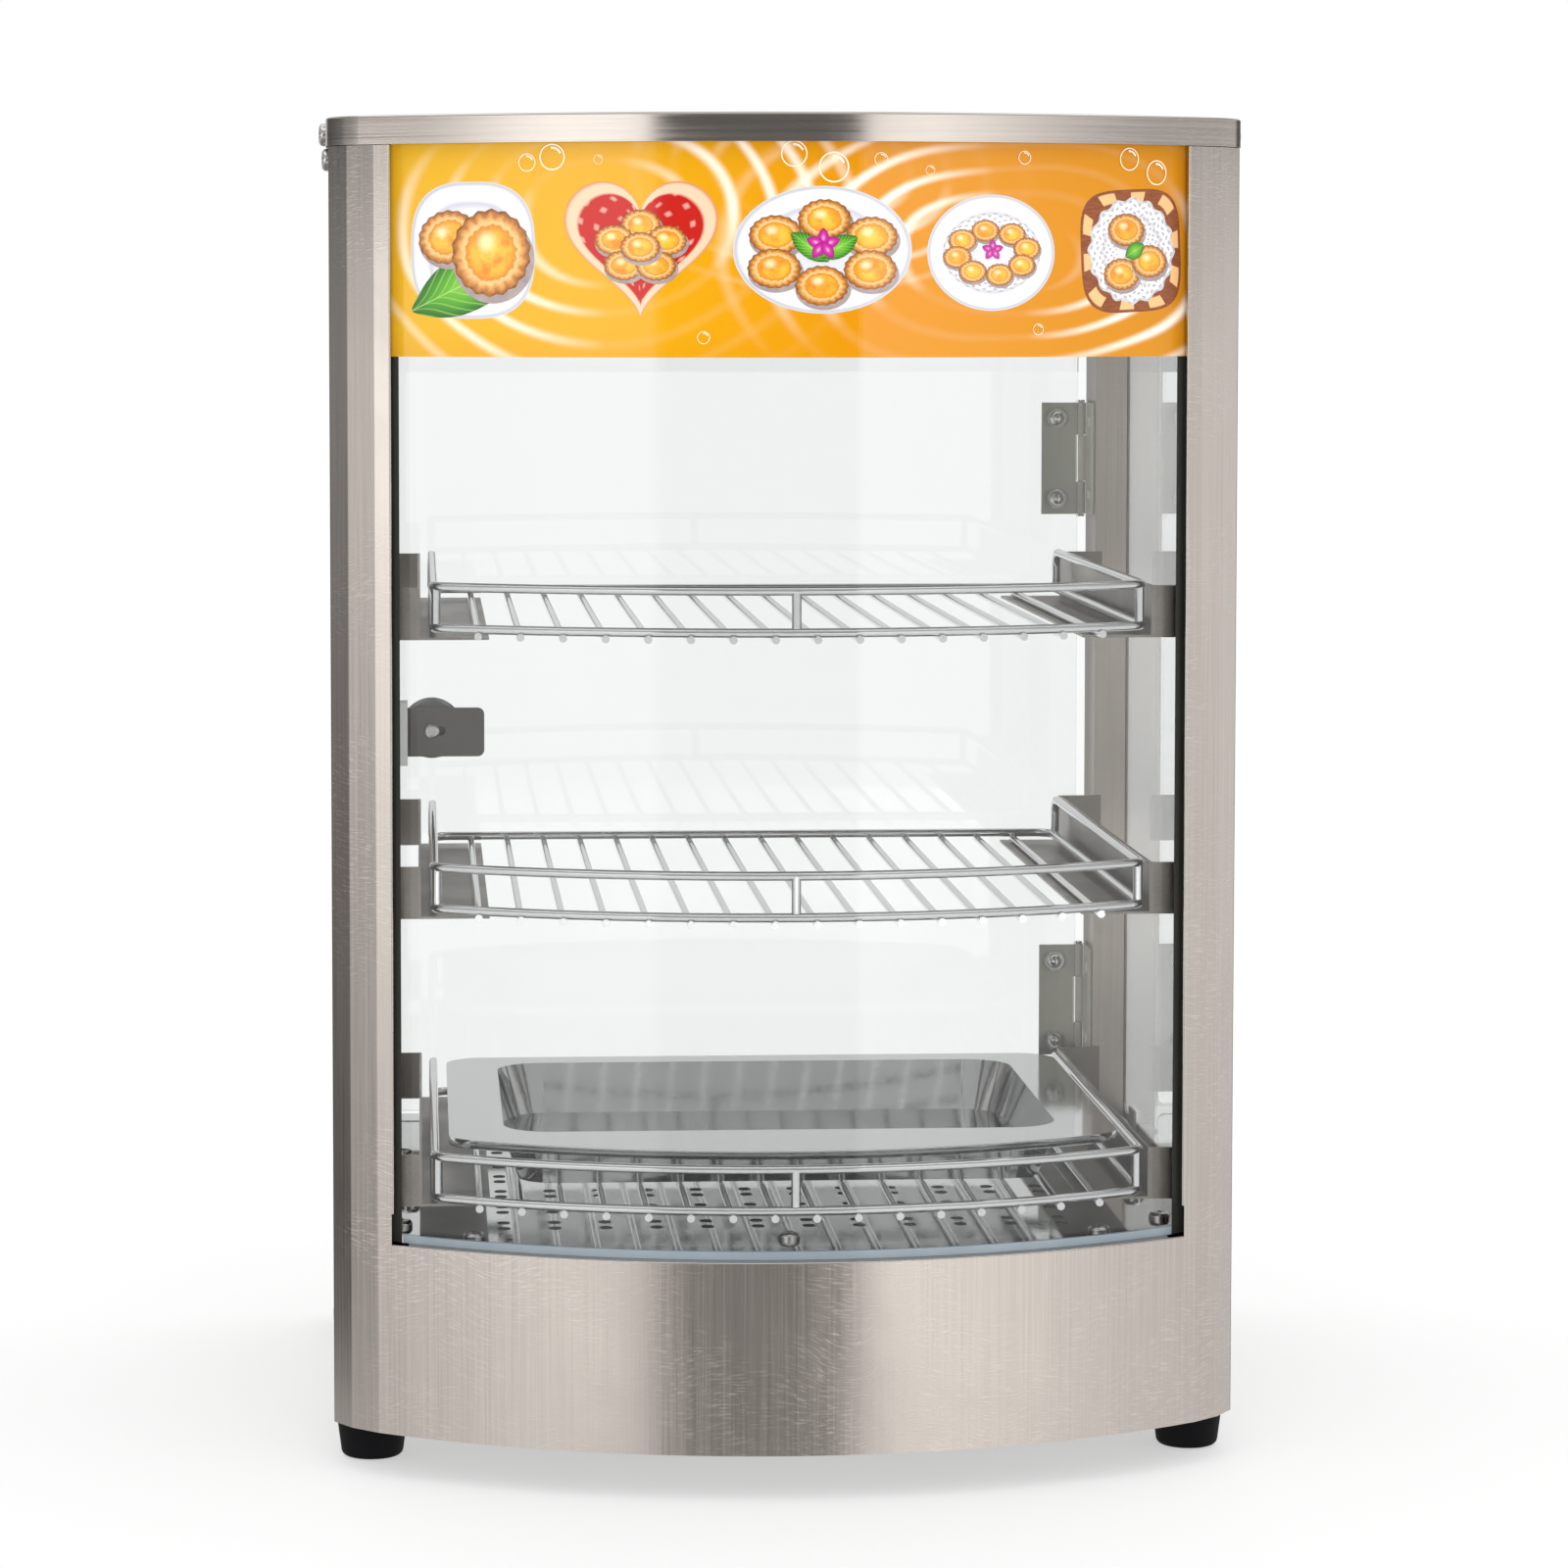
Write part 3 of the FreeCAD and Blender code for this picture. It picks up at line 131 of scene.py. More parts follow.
class Nodes(Tree):
    """A material's node tree with its Principled shader."""

    def __init__(self, name, **values):
        self.material = bpy.data.materials.new(name)
        self.material.use_nodes = True
        super().__init__(self.material.node_tree)
        self.shader = self.tree.nodes["Principled BSDF"]
        self.output = self.tree.nodes["Material Output"]
        for socket, value in values.items():
            self.shader.inputs[socket.replace("_", " ").title().replace("Ior", "IOR")].default_value = value

    def place(self, scale=(1, 1, 1), source="Object"):
        """The piece's own coordinates, in metres, stretched by scale."""
        coordinates = self.add("ShaderNodeTexCoord")
        mapping = self.add("ShaderNodeMapping")
        mapping.inputs["Scale"].default_value = scale
        self.link(coordinates.outputs[source], mapping.inputs["Vector"])
        return mapping.outputs[0]

    def noise(self, place, scale, detail=3.0, rough=0.55, distortion=0.0, output="Fac"):
        node = self.add("ShaderNodeTexNoise")
        node.inputs["Scale"].default_value = scale
        node.inputs["Detail"].default_value = detail
        node.inputs["Roughness"].default_value = rough
        node.inputs["Distortion"].default_value = distortion
        self.link(place, node.inputs["Vector"])
        return node.outputs[output]

    def span(self, factor, low, high, start=0.3, end=0.7):
        """factor from start to end becomes low to high."""
        node = self.add("ShaderNodeMapRange")
        for socket, value in (("From Min", start), ("From Max", end), ("To Min", low), ("To Max", high)):
            node.inputs[socket].default_value = value
        self.link(factor, node.inputs["Value"])
        return node.outputs["Result"]

    def bump(self, height, distance, strength=1.0):
        """Raises the surface by up to distance metres of height."""
        node = self.add("ShaderNodeBump")
        node.inputs["Distance"].default_value = distance
        node.inputs["Strength"].default_value = strength
        self.link(height, node.inputs["Height"])
        self.link(node.outputs[0], self.shader.inputs["Normal"])

    def colour(self, source):
        self.link(source, self.shader.inputs["Base Color"])

    def roughness(self, source):
        self.link(source, self.shader.inputs["Roughness"])


# ---------------------------------------------------------------- materials
def scaled(tint, *factors):
    """tint times each factor, none over 1."""
    tints = [tuple(min(1.0, part * factor) for part in tint) for factor in factors]
    return tints[0] if len(tints) == 1 else tints


SCUFF_BEND = (0.020, 0.020, 0.020)  # metres that a scuff's path wanders
SCUFF_STRETCH = (190, 190, 1800)  # makes the scuffs long and level before they are bent


def scuff_marks(m, swirl):
    """Fine streaks along a path that wanders, in patches."""
    wander = m.noise(m.place(), 24.0, detail=1.0, rough=0.5, output="Color")
    bend = m.add("ShaderNodeVectorMath", operation="MULTIPLY_ADD")
    m.link(wander, bend.inputs[0])
    bend.inputs[1].default_value = SCUFF_BEND
    m.link(m.place(), bend.inputs[2])
    stretch = m.add("ShaderNodeVectorMath", operation="MULTIPLY")
    m.link(bend.outputs[0], stretch.inputs[0])
    stretch.inputs[1].default_value = SCUFF_STRETCH
    marks = m.noise(stretch.outputs[0], 1.0, detail=2.0)
    patches = m.span(m.noise(m.place(), 15.0, detail=2.0), 0.0, swirl, 0.38, 0.58)
    return m.math("MULTIPLY", m.span(marks, 0.0, 1.0, 0.52, 0.70), patches)


def brushed_steel(name, tint, grain, rough, swirl=1.0, anisotropy=0.3):
    """Brushed stainless with swirled scuffs. grain is large across the brushing and small along it."""
    m = Nodes(name, metallic=1.0, anisotropic=anisotropy)
    streaks = m.noise(m.place(grain), 1.0, detail=4.0, rough=0.7)
    cloud = m.noise(m.place(), 16.0, detail=4.0, rough=0.6, distortion=0.8)
    scuffs = scuff_marks(m, swirl)
    shade = m.mix(m.span(streaks, 0.0, 1.0), *scaled(tint, 0.86, 1.09))
    shade = m.mix(m.span(cloud, 0.0, 0.5), shade, scaled(tint, 0.93))
    m.colour(m.mix(m.math("MULTIPLY", scuffs, 0.75), shade, scaled(tint, 1.25)))
    level = m.math("ADD", m.span(streaks, *rough), m.span(cloud, -0.02, 0.03))
    m.roughness(m.math("ADD", level, m.math("MULTIPLY", scuffs, 0.08)))
    m.bump(m.math("ADD", streaks, scuffs), 0.00001, 0.6)
    tangent = m.add("ShaderNodeTangent", direction_type="RADIAL", axis="Z")
    m.link(tangent.outputs[0], m.shader.inputs["Tangent"])
    return m.material


def plain_steel(name, tint, rough, speckle=0.0, scale=900.0, metallic=1.0, painted_hole_shade=False):
    """Sheet steel without a visible grain, optionally speckled, or with painted shade: the upright walls of
    its holes coloured near black.
    """
    m = Nodes(name, metallic=metallic)
    fine = m.noise(m.place(), scale, detail=2.0)
    cloud = m.noise(m.place(), 25.0, detail=4.0, distortion=0.6)
    tone = m.mix(m.span(fine, 0.0, speckle), tint, scaled(tint, 0.6))
    if painted_hole_shade:
        # painted shade: upright faces, the walls of the holes, are coloured near black as if in shadow
        facing = m.axes(m.add("ShaderNodeNewGeometry").outputs["True Normal"])
        level = m.math("ABSOLUTE", facing["Z"])
        tone = m.mix(m.span(level, 0.0, 1.0, 0.4, 0.6), (0.02, 0.02, 0.02), tone)
    m.colour(tone)
    m.roughness(m.math("ADD", m.span(cloud, rough * 0.8, rough * 1.25), m.span(fine, -0.02, 0.04)))
    m.bump(fine, 0.00002, 0.2 + speckle)
    return m.material


def chrome(name, tint, rough):
    """Bright plating with faint clouding."""
    m = Nodes(name, metallic=1.0)
    cloud = m.noise(m.place(), 120.0, detail=4.0)
    specks = m.noise(m.place(), 1500.0, detail=1.0)
    m.colour(m.mix(m.span(cloud, 0.0, 0.25), tint, scaled(tint, 0.86)))
    m.roughness(m.math("ADD", m.span(cloud, rough, rough * 2.0), m.span(specks, 0.0, 0.02)))
    m.bump(cloud, 0.00002, 0.2)
    return m.material


def clear_glass(name, tint, rough=0.0):
    """Glass that lets lamps through, so that what stands behind it is lit."""
    m = Nodes(name, transmission_weight=1.0, ior=1.45)
    m.shader.inputs["Roughness"].default_value = rough
    smear = m.noise(m.place(), 9.0, detail=5.0, distortion=1.0)
    m.colour(m.mix(m.span(smear, 0.0, 0.6), tint, scaled(tint, 0.992)))
    path = m.add("ShaderNodeLightPath")
    clear = m.add("ShaderNodeBsdfTransparent")
    clear.inputs[0].default_value = (*tint, 1)
    mixer = m.add("ShaderNodeMixShader")
    sources = (path.outputs["Is Shadow Ray"], m.shader.outputs[0], clear.outputs[0])
    for source, socket in zip(sources, mixer.inputs):
        m.link(source, socket)
    m.link(mixer.outputs[0], m.output.inputs["Surface"])
    return m.material


def moulded(name, tint, rough, scale=700.0, depth=0.00004, **values):
    """Plastic, rubber or ceramic with a fine moulded texture."""
    m = Nodes(name, **values)
    fine = m.noise(m.place(), scale, detail=3.0)
    cloud = m.noise(m.place(), 40.0, detail=4.0)
    m.colour(m.mix(m.span(cloud, 0.0, 0.5), tint, tuple(min(1.0, c * 1.35 + 0.002) for c in tint)))
    m.roughness(m.math("ADD", m.span(cloud, rough * 0.9, rough * 1.12), m.span(fine, -0.04, 0.04)))
    m.bump(fine, depth, 0.5)
    return m.material


def element_sheath():
    """Oxidised sheath: straw and blue heat tints on dark steel."""
    m = Nodes("element_sheath", metallic=1.0)
    bands = m.noise(m.place(), 30.0, detail=3.0, distortion=1.0)
    m.colour(m.ramp(bands, (0.3, (0.16, 0.13, 0.12)), (0.5, (0.34, 0.26, 0.19)), (0.7, (0.20, 0.22, 0.28))))
    m.roughness(m.span(bands, 0.38, 0.6))
    m.bump(m.noise(m.place(), 800.0), 0.00003, 0.4)
    return m.material


STEEL = (0.64, 0.58, 0.53)
ACROSS_X = (900, 900, 9)  # brushed upright
ALONG_X = (9, 9, 900)  # brushed level
MATERIALS = {
    "body_steel": brushed_steel("body_steel", STEEL, ACROSS_X, (0.13, 0.21), swirl=1.0, anisotropy=0.6),
    "lid_steel": brushed_steel("lid_steel", STEEL, ALONG_X, (0.08, 0.16), swirl=0.3),
    "post_steel": brushed_steel("post_steel", (0.60, 0.54, 0.49), ACROSS_X, (0.28, 0.38), swirl=0.4),
    "inner_steel": plain_steel("inner_steel", (0.58, 0.55, 0.52), 0.32, speckle=0.12),
    "hinge_steel": plain_steel(
        "hinge_steel", (0.84, 0.81, 0.74), 0.50, speckle=0.22, scale=1200.0, metallic=0.10
    ),
    "strike_steel": plain_steel("strike_steel", (0.20, 0.185, 0.17), 0.42, speckle=0.20, scale=1200.0),
    # the floor plate gets painted shade on the walls of its holes
    "floor_steel": plain_steel(
        "floor_steel", (0.62, 0.63, 0.63), 0.05, speckle=0.05, scale=500.0, painted_hole_shade=True
    ),
    "polished_steel": plain_steel("polished_steel", (0.60, 0.61, 0.61), 0.06, speckle=0.05, scale=500.0),
    "bracket_steel": plain_steel("bracket_steel", (0.35, 0.32, 0.29), 0.36, speckle=0.35, scale=1400.0),
    "chrome_wire": chrome("chrome_wire", (0.72, 0.72, 0.73), 0.03),
    "screws": chrome("screws", (0.70, 0.68, 0.66), 0.12),
    "clear_glass": clear_glass("clear_glass", (0.945, 0.955, 0.95)),
    "black_rubber": moulded("black_rubber", (0.003, 0.003, 0.004), 0.60, specular_ior_level=0.15),
    "seal_rubber": moulded("seal_rubber", (0.030, 0.031, 0.026), 0.45, 500.0),
    "clear_seal": moulded("clear_seal", (0.36, 0.43, 0.48), 0.16, 90.0, 0.00002, transmission_weight=0.35),
    "black_plastic": moulded("black_plastic", (0.018, 0.018, 0.018), 0.48, 1100.0),
    "knob_plastic": moulded("knob_plastic", (0.02, 0.02, 0.022), 0.22, 400.0, 0.00001, coat_weight=0.4),
    "amber_lens": moulded("amber_lens", (0.90, 0.36, 0.03), 0.12, 300.0, 0.00002, coat_weight=0.6),
    "red_rocker": moulded("red_rocker", (0.58, 0.02, 0.015), 0.18, 300.0, 0.00002, coat_weight=0.6),
    "element_sheath": element_sheath(),
    "ceramic_white": moulded("ceramic_white", (0.80, 0.79, 0.75), 0.55, 900.0),
    "lamp_glass": clear_glass("lamp_glass", (0.98, 0.97, 0.93), 0.25),
    "magnet_body": moulded("magnet_body", (0.72, 0.72, 0.70), 0.40),
    "terminal_plastic": moulded("terminal_plastic", (0.70, 0.68, 0.62), 0.45),
}
# nodes whose finish differs from the rest of their slot
OWN_FINISH = {
    "lid": "lid_steel",
    "rear_post_right": "post_steel",
    "rear_post_left": "post_steel",
    "hinge_leaves_door": "hinge_steel",
    "hinge_leaves_post": "hinge_steel",
    "strike_plate": "strike_steel",
    "floor_plate": "floor_steel",
    "glass_seal_right": "seal_rubber",
    "glass_seal_left": "seal_rubber",
}


def dress_cad_nodes():
    """Gives every CAD node the patterned material of its slot in the record, or its own finish."""
    for part in frame["record"]["subparts"]:
        name = OWN_FINISH.get(part["node"], part["material_slot"])
        if name in MATERIALS:
            for slot in frame["nodes"][part["node"]].material_slots:
                slot.material = MATERIALS[name]


# ---------------------------------------------------------------- the header's print
banner_low, banner_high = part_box("banner_panel")
BANNER_THICK = 0.8 * MM
BANNER_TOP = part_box("lid")[0].z
BANNER_MID_Z = (banner_low.z + BANNER_TOP) / 2
FILM = dict(coat_weight=1.0, coat_roughness=0.02, roughness=0.35, specular_ior_level=0.0)


def banner_radius():
    """The radius of the header's outer face, from its half width and the depth of its curve."""
    half, depth = banner_high.x, banner_high.y - banner_low.y - BANNER_THICK
    return (half**2 + depth**2) / (2 * depth)


RADIUS = banner_radius()


def on_banner(u, v, lift=0.0):
    """The point u along the header's face and v up it, from the middle of what shows of it."""
    angle, reach = u / RADIUS, RADIUS + lift
    y = banner_low.y + RADIUS - reach * math.cos(angle)
    return Vector((reach * math.sin(angle), y, BANNER_MID_Z + v))


def new_piece(name, mesh, material, body="case"):
    """Turns a bmesh into a piece that rides on body."""
    data = bpy.data.meshes.new(name)
    bmesh.ops.recalc_face_normals(mesh, faces=mesh.faces)
    mesh.to_mesh(data)
    mesh.free()
    data.materials.append(material)
    piece = bpy.data.objects.new(name, data)
    bpy.context.scene.collection.objects.link(piece)
    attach(piece, body)
    return piece


def ripples(m, x, z, centre, half, spacing, seed):
    """Soft white arcs round centre, which fade in and out along their length."""
    dx = m.math("MULTIPLY", m.math("SUBTRACT", x, centre[0]), 1 / half[0])
    dz = m.math("MULTIPLY", m.math("SUBTRACT", z, centre[1]), 1 / half[1])
    reach = m.math("SQRT", m.math("ADD", m.math("MULTIPLY", dx, dx), m.math("MULTIPLY", dz, dz)))
    turn = m.math("ARCTAN2", dz, dx)
    drift = m.math("MULTIPLY", m.noise(m.place((1, 1, 1.4)), 9.0, detail=1.0), 0.5)
    wave = m.math("SINE", m.math("MULTIPLY", m.math("ADD", reach, drift), spacing))
    line = m.math("POWER", m.span(wave, 0.0, 1.0, -0.1, 1.0), 2.6)
    twice = m.math("ADD", m.math("MULTIPLY", turn, 2.0), seed)
    swell = m.span(m.math("SINE", twice), 0.05, 1.0, -0.5, 0.8)
    inside = m.span(reach, 1.0, 0.0, 1.15, 1.7)
    outside = m.span(reach, 0.0, 1.0, 0.35, 0.7)
    return m.math("MULTIPLY", m.math("MULTIPLY", line, swell), m.math("MULTIPLY", inside, outside))


def banner_material():
    """Yellow to orange ground with soft white ripples, under a gloss film."""
    m = Nodes("banner_print", **FILM)
    x, _, z = m.axes(m.place())
    ground = m.ramp(
        m.span(x, 0.0, 1.0, -0.155, 0.155),
        (0.0, (0.74, 0.41, 0.008)), (0.3, (0.73, 0.36, 0.004)),
        (0.6, (0.66, 0.25, 0.001)), (1.0, (0.62, 0.24, 0.001)),
    )
    ground = m.mix(m.span(z, 0.0, 0.35, BANNER_MID_Z - 0.03, banner_low.z), ground, (0.65, 0.265, 0.001))
    for centre, half, spacing, seed, weight in (
        ((-0.070, BANNER_MID_Z + 0.010), (0.062, 0.046), 26.0, 0.6, 0.80),
        ((0.082, BANNER_MID_Z - 0.002), (0.070, 0.040), 24.0, 2.4, 0.95),
        ((0.005, BANNER_MID_Z + 0.030), (0.055, 0.030), 22.0, 4.0, 0.45),
    ):
        white = m.math("MULTIPLY", ripples(m, x, z, centre, half, spacing, seed), weight)
        ground = m.mix(white, ground, (1.0, 0.92, 0.78))
    m.colour(ground)
    m.bump(m.noise(m.place(), 300.0), 0.00001, 0.15)
    return m.material


def banner_sheet():
    """The header's printed sheet, finely divided so that the print lies flat on it."""
    mesh = bmesh.new()
    columns, rows = 192, 6
    half = math.asin(banner_high.x / RADIUS) * RADIUS
    low, high = banner_low.z - BANNER_MID_Z, banner_high.z - BANNER_MID_Z
    faces = {}
    for side, lift in (("outer", 0.0), ("inner", -BANNER_THICK)):
        for i in range(columns + 1):
            for j in range(rows + 1):
                u, v = half * (2 * i / columns - 1), low + (high - low) * j / rows
                faces[side, i, j] = mesh.verts.new(on_banner(u, v, lift))
    for side in ("outer", "inner"):
        for i in range(columns):
            for j in range(rows):
                corners = (i, j), (i + 1, j), (i + 1, j + 1), (i, j + 1)
                mesh.faces.new([faces[side, a, b] for a, b in corners])
    rim = [(i, 0) for i in range(columns)] + [(columns, j) for j in range(rows)]
    rim += [(i, rows) for i in range(columns, 0, -1)] + [(0, j) for j in range(rows, 0, -1)]
    for a, b in zip(rim, rim[1:] + rim[:1]):
        mesh.faces.new([faces["outer", *a], faces["outer", *b], faces["inner", *b], faces["inner", *a]])
    piece = new_piece("banner_sheet", mesh, banner_material())
    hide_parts("banner_panel")


def polar(name):
    """A printed material, with reach from its patch's middle to the rim, the turn, and X and Y."""
    m = Nodes(name, **FILM)
    place = m.place(source="UV")
    parts = m.axes(place)
    length = m.add("ShaderNodeVectorMath", operation="LENGTH")
    m.link(place, length.inputs[0])
    return m, length.outputs["Value"], m.math("ARCTAN2", parts["Y"], parts["X"]), parts


def spot(m, parts, x, y, radius, strength):
    """A soft round spot at (x, y) of a patch."""
    dx, dy = m.math("SUBTRACT", parts["X"], x), m.math("SUBTRACT", parts["Y"], y)
    squares = m.math("ADD", m.math("MULTIPLY", dx, dx), m.math("MULTIPLY", dy, dy))
    away = m.math("SQRT", squares)
    return m.span(away, strength, 0.0, radius * 0.3, radius)


def tart_print():
    """A small custard tart: browned custard in a fluted crust."""
    m, reach, turn, parts = polar("print_tart")
    grain = m.noise(m.place(), 520.0, detail=3.0)
    blotch = m.noise(m.place(), 150.0, detail=3.0)
    reach = m.math("ADD", reach, m.span(grain, -0.035, 0.035))
    tone = m.ramp(
        reach, (0.0, (0.92, 0.56, 0.08)), (0.50, (0.86, 0.42, 0.04)), (0.63, (0.62, 0.22, 0.02)),
        (0.68, (0.88, 0.56, 0.24)), (0.80, (0.74, 0.35, 0.10)), (0.93, (0.42, 0.15, 0.03)),
        (1.0, (0.15, 0.05, 0.01)),
    )
    custard = m.span(reach, 1.0, 0.0, 0.50, 0.62)
    browned = m.math("MULTIPLY", custard, m.span(blotch, 0.0, 0.85, 0.45, 0.66))
    tone = m.mix(browned, tone, (0.70, 0.20, 0.015))
    glint = m.math("MULTIPLY", custard, spot(m, parts, -0.16, 0.24, 0.30, 0.60))
    tone = m.mix(glint, tone, (1.0, 0.90, 0.58))
    flute = m.span(m.math("SINE", m.math("MULTIPLY", turn, 20.0)), 0.0, 0.55, -0.2, 0.9)
    crust = m.span(reach, 0.0, 1.0, 0.74, 0.84)
    m.colour(m.mix(m.math("MULTIPLY", crust, flute), tone, (0.33, 0.12, 0.02)))
    return m.material


def plate_print(name, ground, lace=0.0):
    """A pale dish with a shaded well, optionally edged with paper lace."""
    m, reach, turn, _ = polar(name)
    cloud = m.noise(m.place(), 60.0, detail=2.0)
    tone = m.ramp(
        reach, (0.0, scaled(ground, 0.82)), (0.60, scaled(ground, 0.94)), (0.68, scaled(ground, 0.70)),
        (0.73, ground), (0.93, ground), (0.97, scaled(ground, 0.62)), (1.0, scaled(ground, 0.85)),
    )
    tone = m.mix(m.span(cloud, 0.0, 0.25), tone, scaled(ground, 0.72))
    if lace:
        spokes = m.math("SINE", m.math("MULTIPLY", turn, 26.0))
        rings = m.math("SINE", m.math("MULTIPLY", reach, 46.0))
        holes = m.math("MULTIPLY", spokes, rings)
        band = m.span(reach, 0.0, 1.0, 0.30, 0.42)
        tone = m.mix(m.math("MULTIPLY", band, m.span(holes, 0.0, lace, 0.25, 0.5)), tone, (0.42, 0.40, 0.44))
    m.colour(tone)
    return m.material


def board_print():
    """A dark wooden board with pale inlaid blocks along its rim."""
    m, reach, turn, _ = polar("print_board")
    grain = m.noise(m.place((1, 1, 6)), 220.0, detail=3.0)
    wood = m.mix(m.span(grain, 0.0, 1.0), (0.30, 0.09, 0.03), (0.20, 0.05, 0.015))
    blocks = m.span(m.math("SINE", m.math("MULTIPLY", turn, 10.0)), 0.0, 1.0, 0.05, 0.15)
    rim = m.math("MULTIPLY", m.span(reach, 0, 1, 0.78, 0.80), m.span(reach, 1, 0, 0.94, 0.96))
    inlay = m.math("MULTIPLY", blocks, rim)
    m.colour(m.mix(inlay, wood, (0.86, 0.50, 0.22)))
    return m.material


def napkin_print():
    """A red dish with a pale pattern and a broad pale rim."""
    m, reach, _, parts = polar("print_napkin")
    waves = [m.math("SINE", m.math("MULTIPLY", parts[axis], 30.0)) for axis in ("X", "Y")]
    spots = m.math("MULTIPLY", *[m.span(wave, 0.0, 0.8, 0.3, 0.9) for wave in waves])
    tone = m.mix(spots, (0.50, 0.015, 0.01), (0.80, 0.50, 0.42))
    tone = m.mix(m.span(reach, 0.0, 1.0, 0.80, 0.84), tone, (0.80, 0.56, 0.38))
    m.colour(m.mix(m.span(reach, 0.0, 1.0, 0.95, 0.99), tone, (0.62, 0.26, 0.12)))
    return m.material


def leaf_print():
    """A glossy leaf with a pale midrib and side veins."""
    m, reach, _, parts = polar("print_leaf")
    tone = m.ramp(reach, (0.0, (0.22, 0.56, 0.05)), (0.6, (0.08, 0.34, 0.02)), (1.0, (0.015, 0.12, 0.01)))
    off_midrib = m.math("ABSOLUTE", parts["Y"])
    slant = m.math("ADD", parts["X"], m.math("MULTIPLY", off_midrib, -0.7))
    veins = m.span(m.math("SINE", m.math("MULTIPLY", slant, 30.0)), 0.0, 0.35, 0.7, 0.95)
    rib = m.span(off_midrib, 0.7, 0.0, 0.02, 0.06)
    m.colour(m.mix(m.math("MAXIMUM", veins, rib), tone, (0.50, 0.74, 0.22)))
    return m.material


def petal_print():
    """A petal, pale at its root."""
    m, reach, _, _ = polar("print_petal")
    m.colour(m.ramp(reach, (0.0, (0.95, 0.45, 0.65)), (0.35, (0.62, 0.05, 0.34)), (1.0, (0.34, 0.01, 0.22))))
    return m.material


def shadow_print():
    """The soft brown shade that a tart is drawn with."""
    m = Nodes("print_shadow", **FILM)
    grain = m.noise(m.place(), 200.0)
    m.colour(m.mix(m.span(grain, 0.0, 1.0), (0.30, 0.24, 0.24), (0.42, 0.34, 0.32)))
    return m.material


PRINT = {
    "tart": tart_print(),
    "plate": plate_print("print_plate", (0.78, 0.78, 0.85)),
    "doily": plate_print("print_doily", (0.84, 0.84, 0.86), 0.9),
    "board": board_print(),
    "napkin": napkin_print(),
    "leaf": leaf_print(),
    "petal": petal_print(),
    "shadow": shadow_print(),
}


class Print:
    """One mesh for all patches of one printed colour."""

    def __init__(self, name):
        self.name = name
        self.mesh = bmesh.new()
        self.uv = self.mesh.loops.layers.uv.new("UVMap")

    def patch(self, u, v, outline, layer):
        """Rings from the middle (u, v) out to outline, a list of (du, dv), on its own thin layer."""
        lift = MM * (0.02 + 0.015 * layer)
        count = len(outline)
        rings = max(3, round(max(math.hypot(*p) for p in outline) / (2.5 * MM)))
        middle = self.mesh.verts.new(on_banner(u, v, lift))
        at, last = {middle: (0.0, 0.0)}, None
        for step in range(1, rings + 1):
            share = step / rings
            ring = []
            for i, (a, b) in enumerate(outline):
                vertex = self.mesh.verts.new(on_banner(u + a * share, v + b * share, lift))
                turn = math.tau * i / count
                at[vertex] = (share * math.cos(turn), share * math.sin(turn))
                ring.append(vertex)
            for i in range(count):
                j = (i + 1) % count
                corners = (middle, ring[i], ring[j]) if last is None else (last[i], ring[i], ring[j], last[j])
                for loop in self.mesh.faces.new(corners).loops:
                    loop[self.uv].uv = at[loop.vert]
            last = ring

    def finish(self):
        new_piece(f"print_{self.name}", self.mesh, PRINT[self.name])


def tilted(points, tilt):
    """points turned by tilt, in radians."""
    c, s = math.cos(tilt), math.sin(tilt)
    return [(a * c - b * s, a * s + b * c) for a, b in points]


def around(count, shape):
    """The points of shape(turn) once round."""
    return [shape(math.tau * i / count) for i in range(count)]


def oval(wide, tall, flute=0.0, flutes=0, count=60):
    """An ellipse, optionally with a fluted rim."""
    def point(turn):
        swell = 1 + flute * math.cos(flutes * turn)
        return wide * swell * math.cos(turn), tall * swell * math.sin(turn)
    return around(count, point)


def rounded_square(half, power):
    """A superellipse: the higher the power, the squarer."""
    def point(turn):
        c, s = math.cos(turn), math.sin(turn)
        reach = half / (abs(c) ** power + abs(s) ** power) ** (1 / power)
        return reach * c, reach * s
    return around(72, point)


def heart(half):
    """A plump heart, half wide either way."""
    def point(turn):
        up = 13 * math.cos(turn) - 5 * math.cos(2 * turn) - 2 * math.cos(3 * turn) - math.cos(4 * turn)
        return half * math.sin(turn) ** 3, half * (up + 2.5) / 16.5
    return around(96, point)


def leaf(length, width):
    """A lens with drawn-in tips."""
    def point(turn):
        return length * math.cos(turn), width * math.sin(turn) * (1 - 0.6 * abs(math.cos(turn)) ** 3)
    return around(48, point)


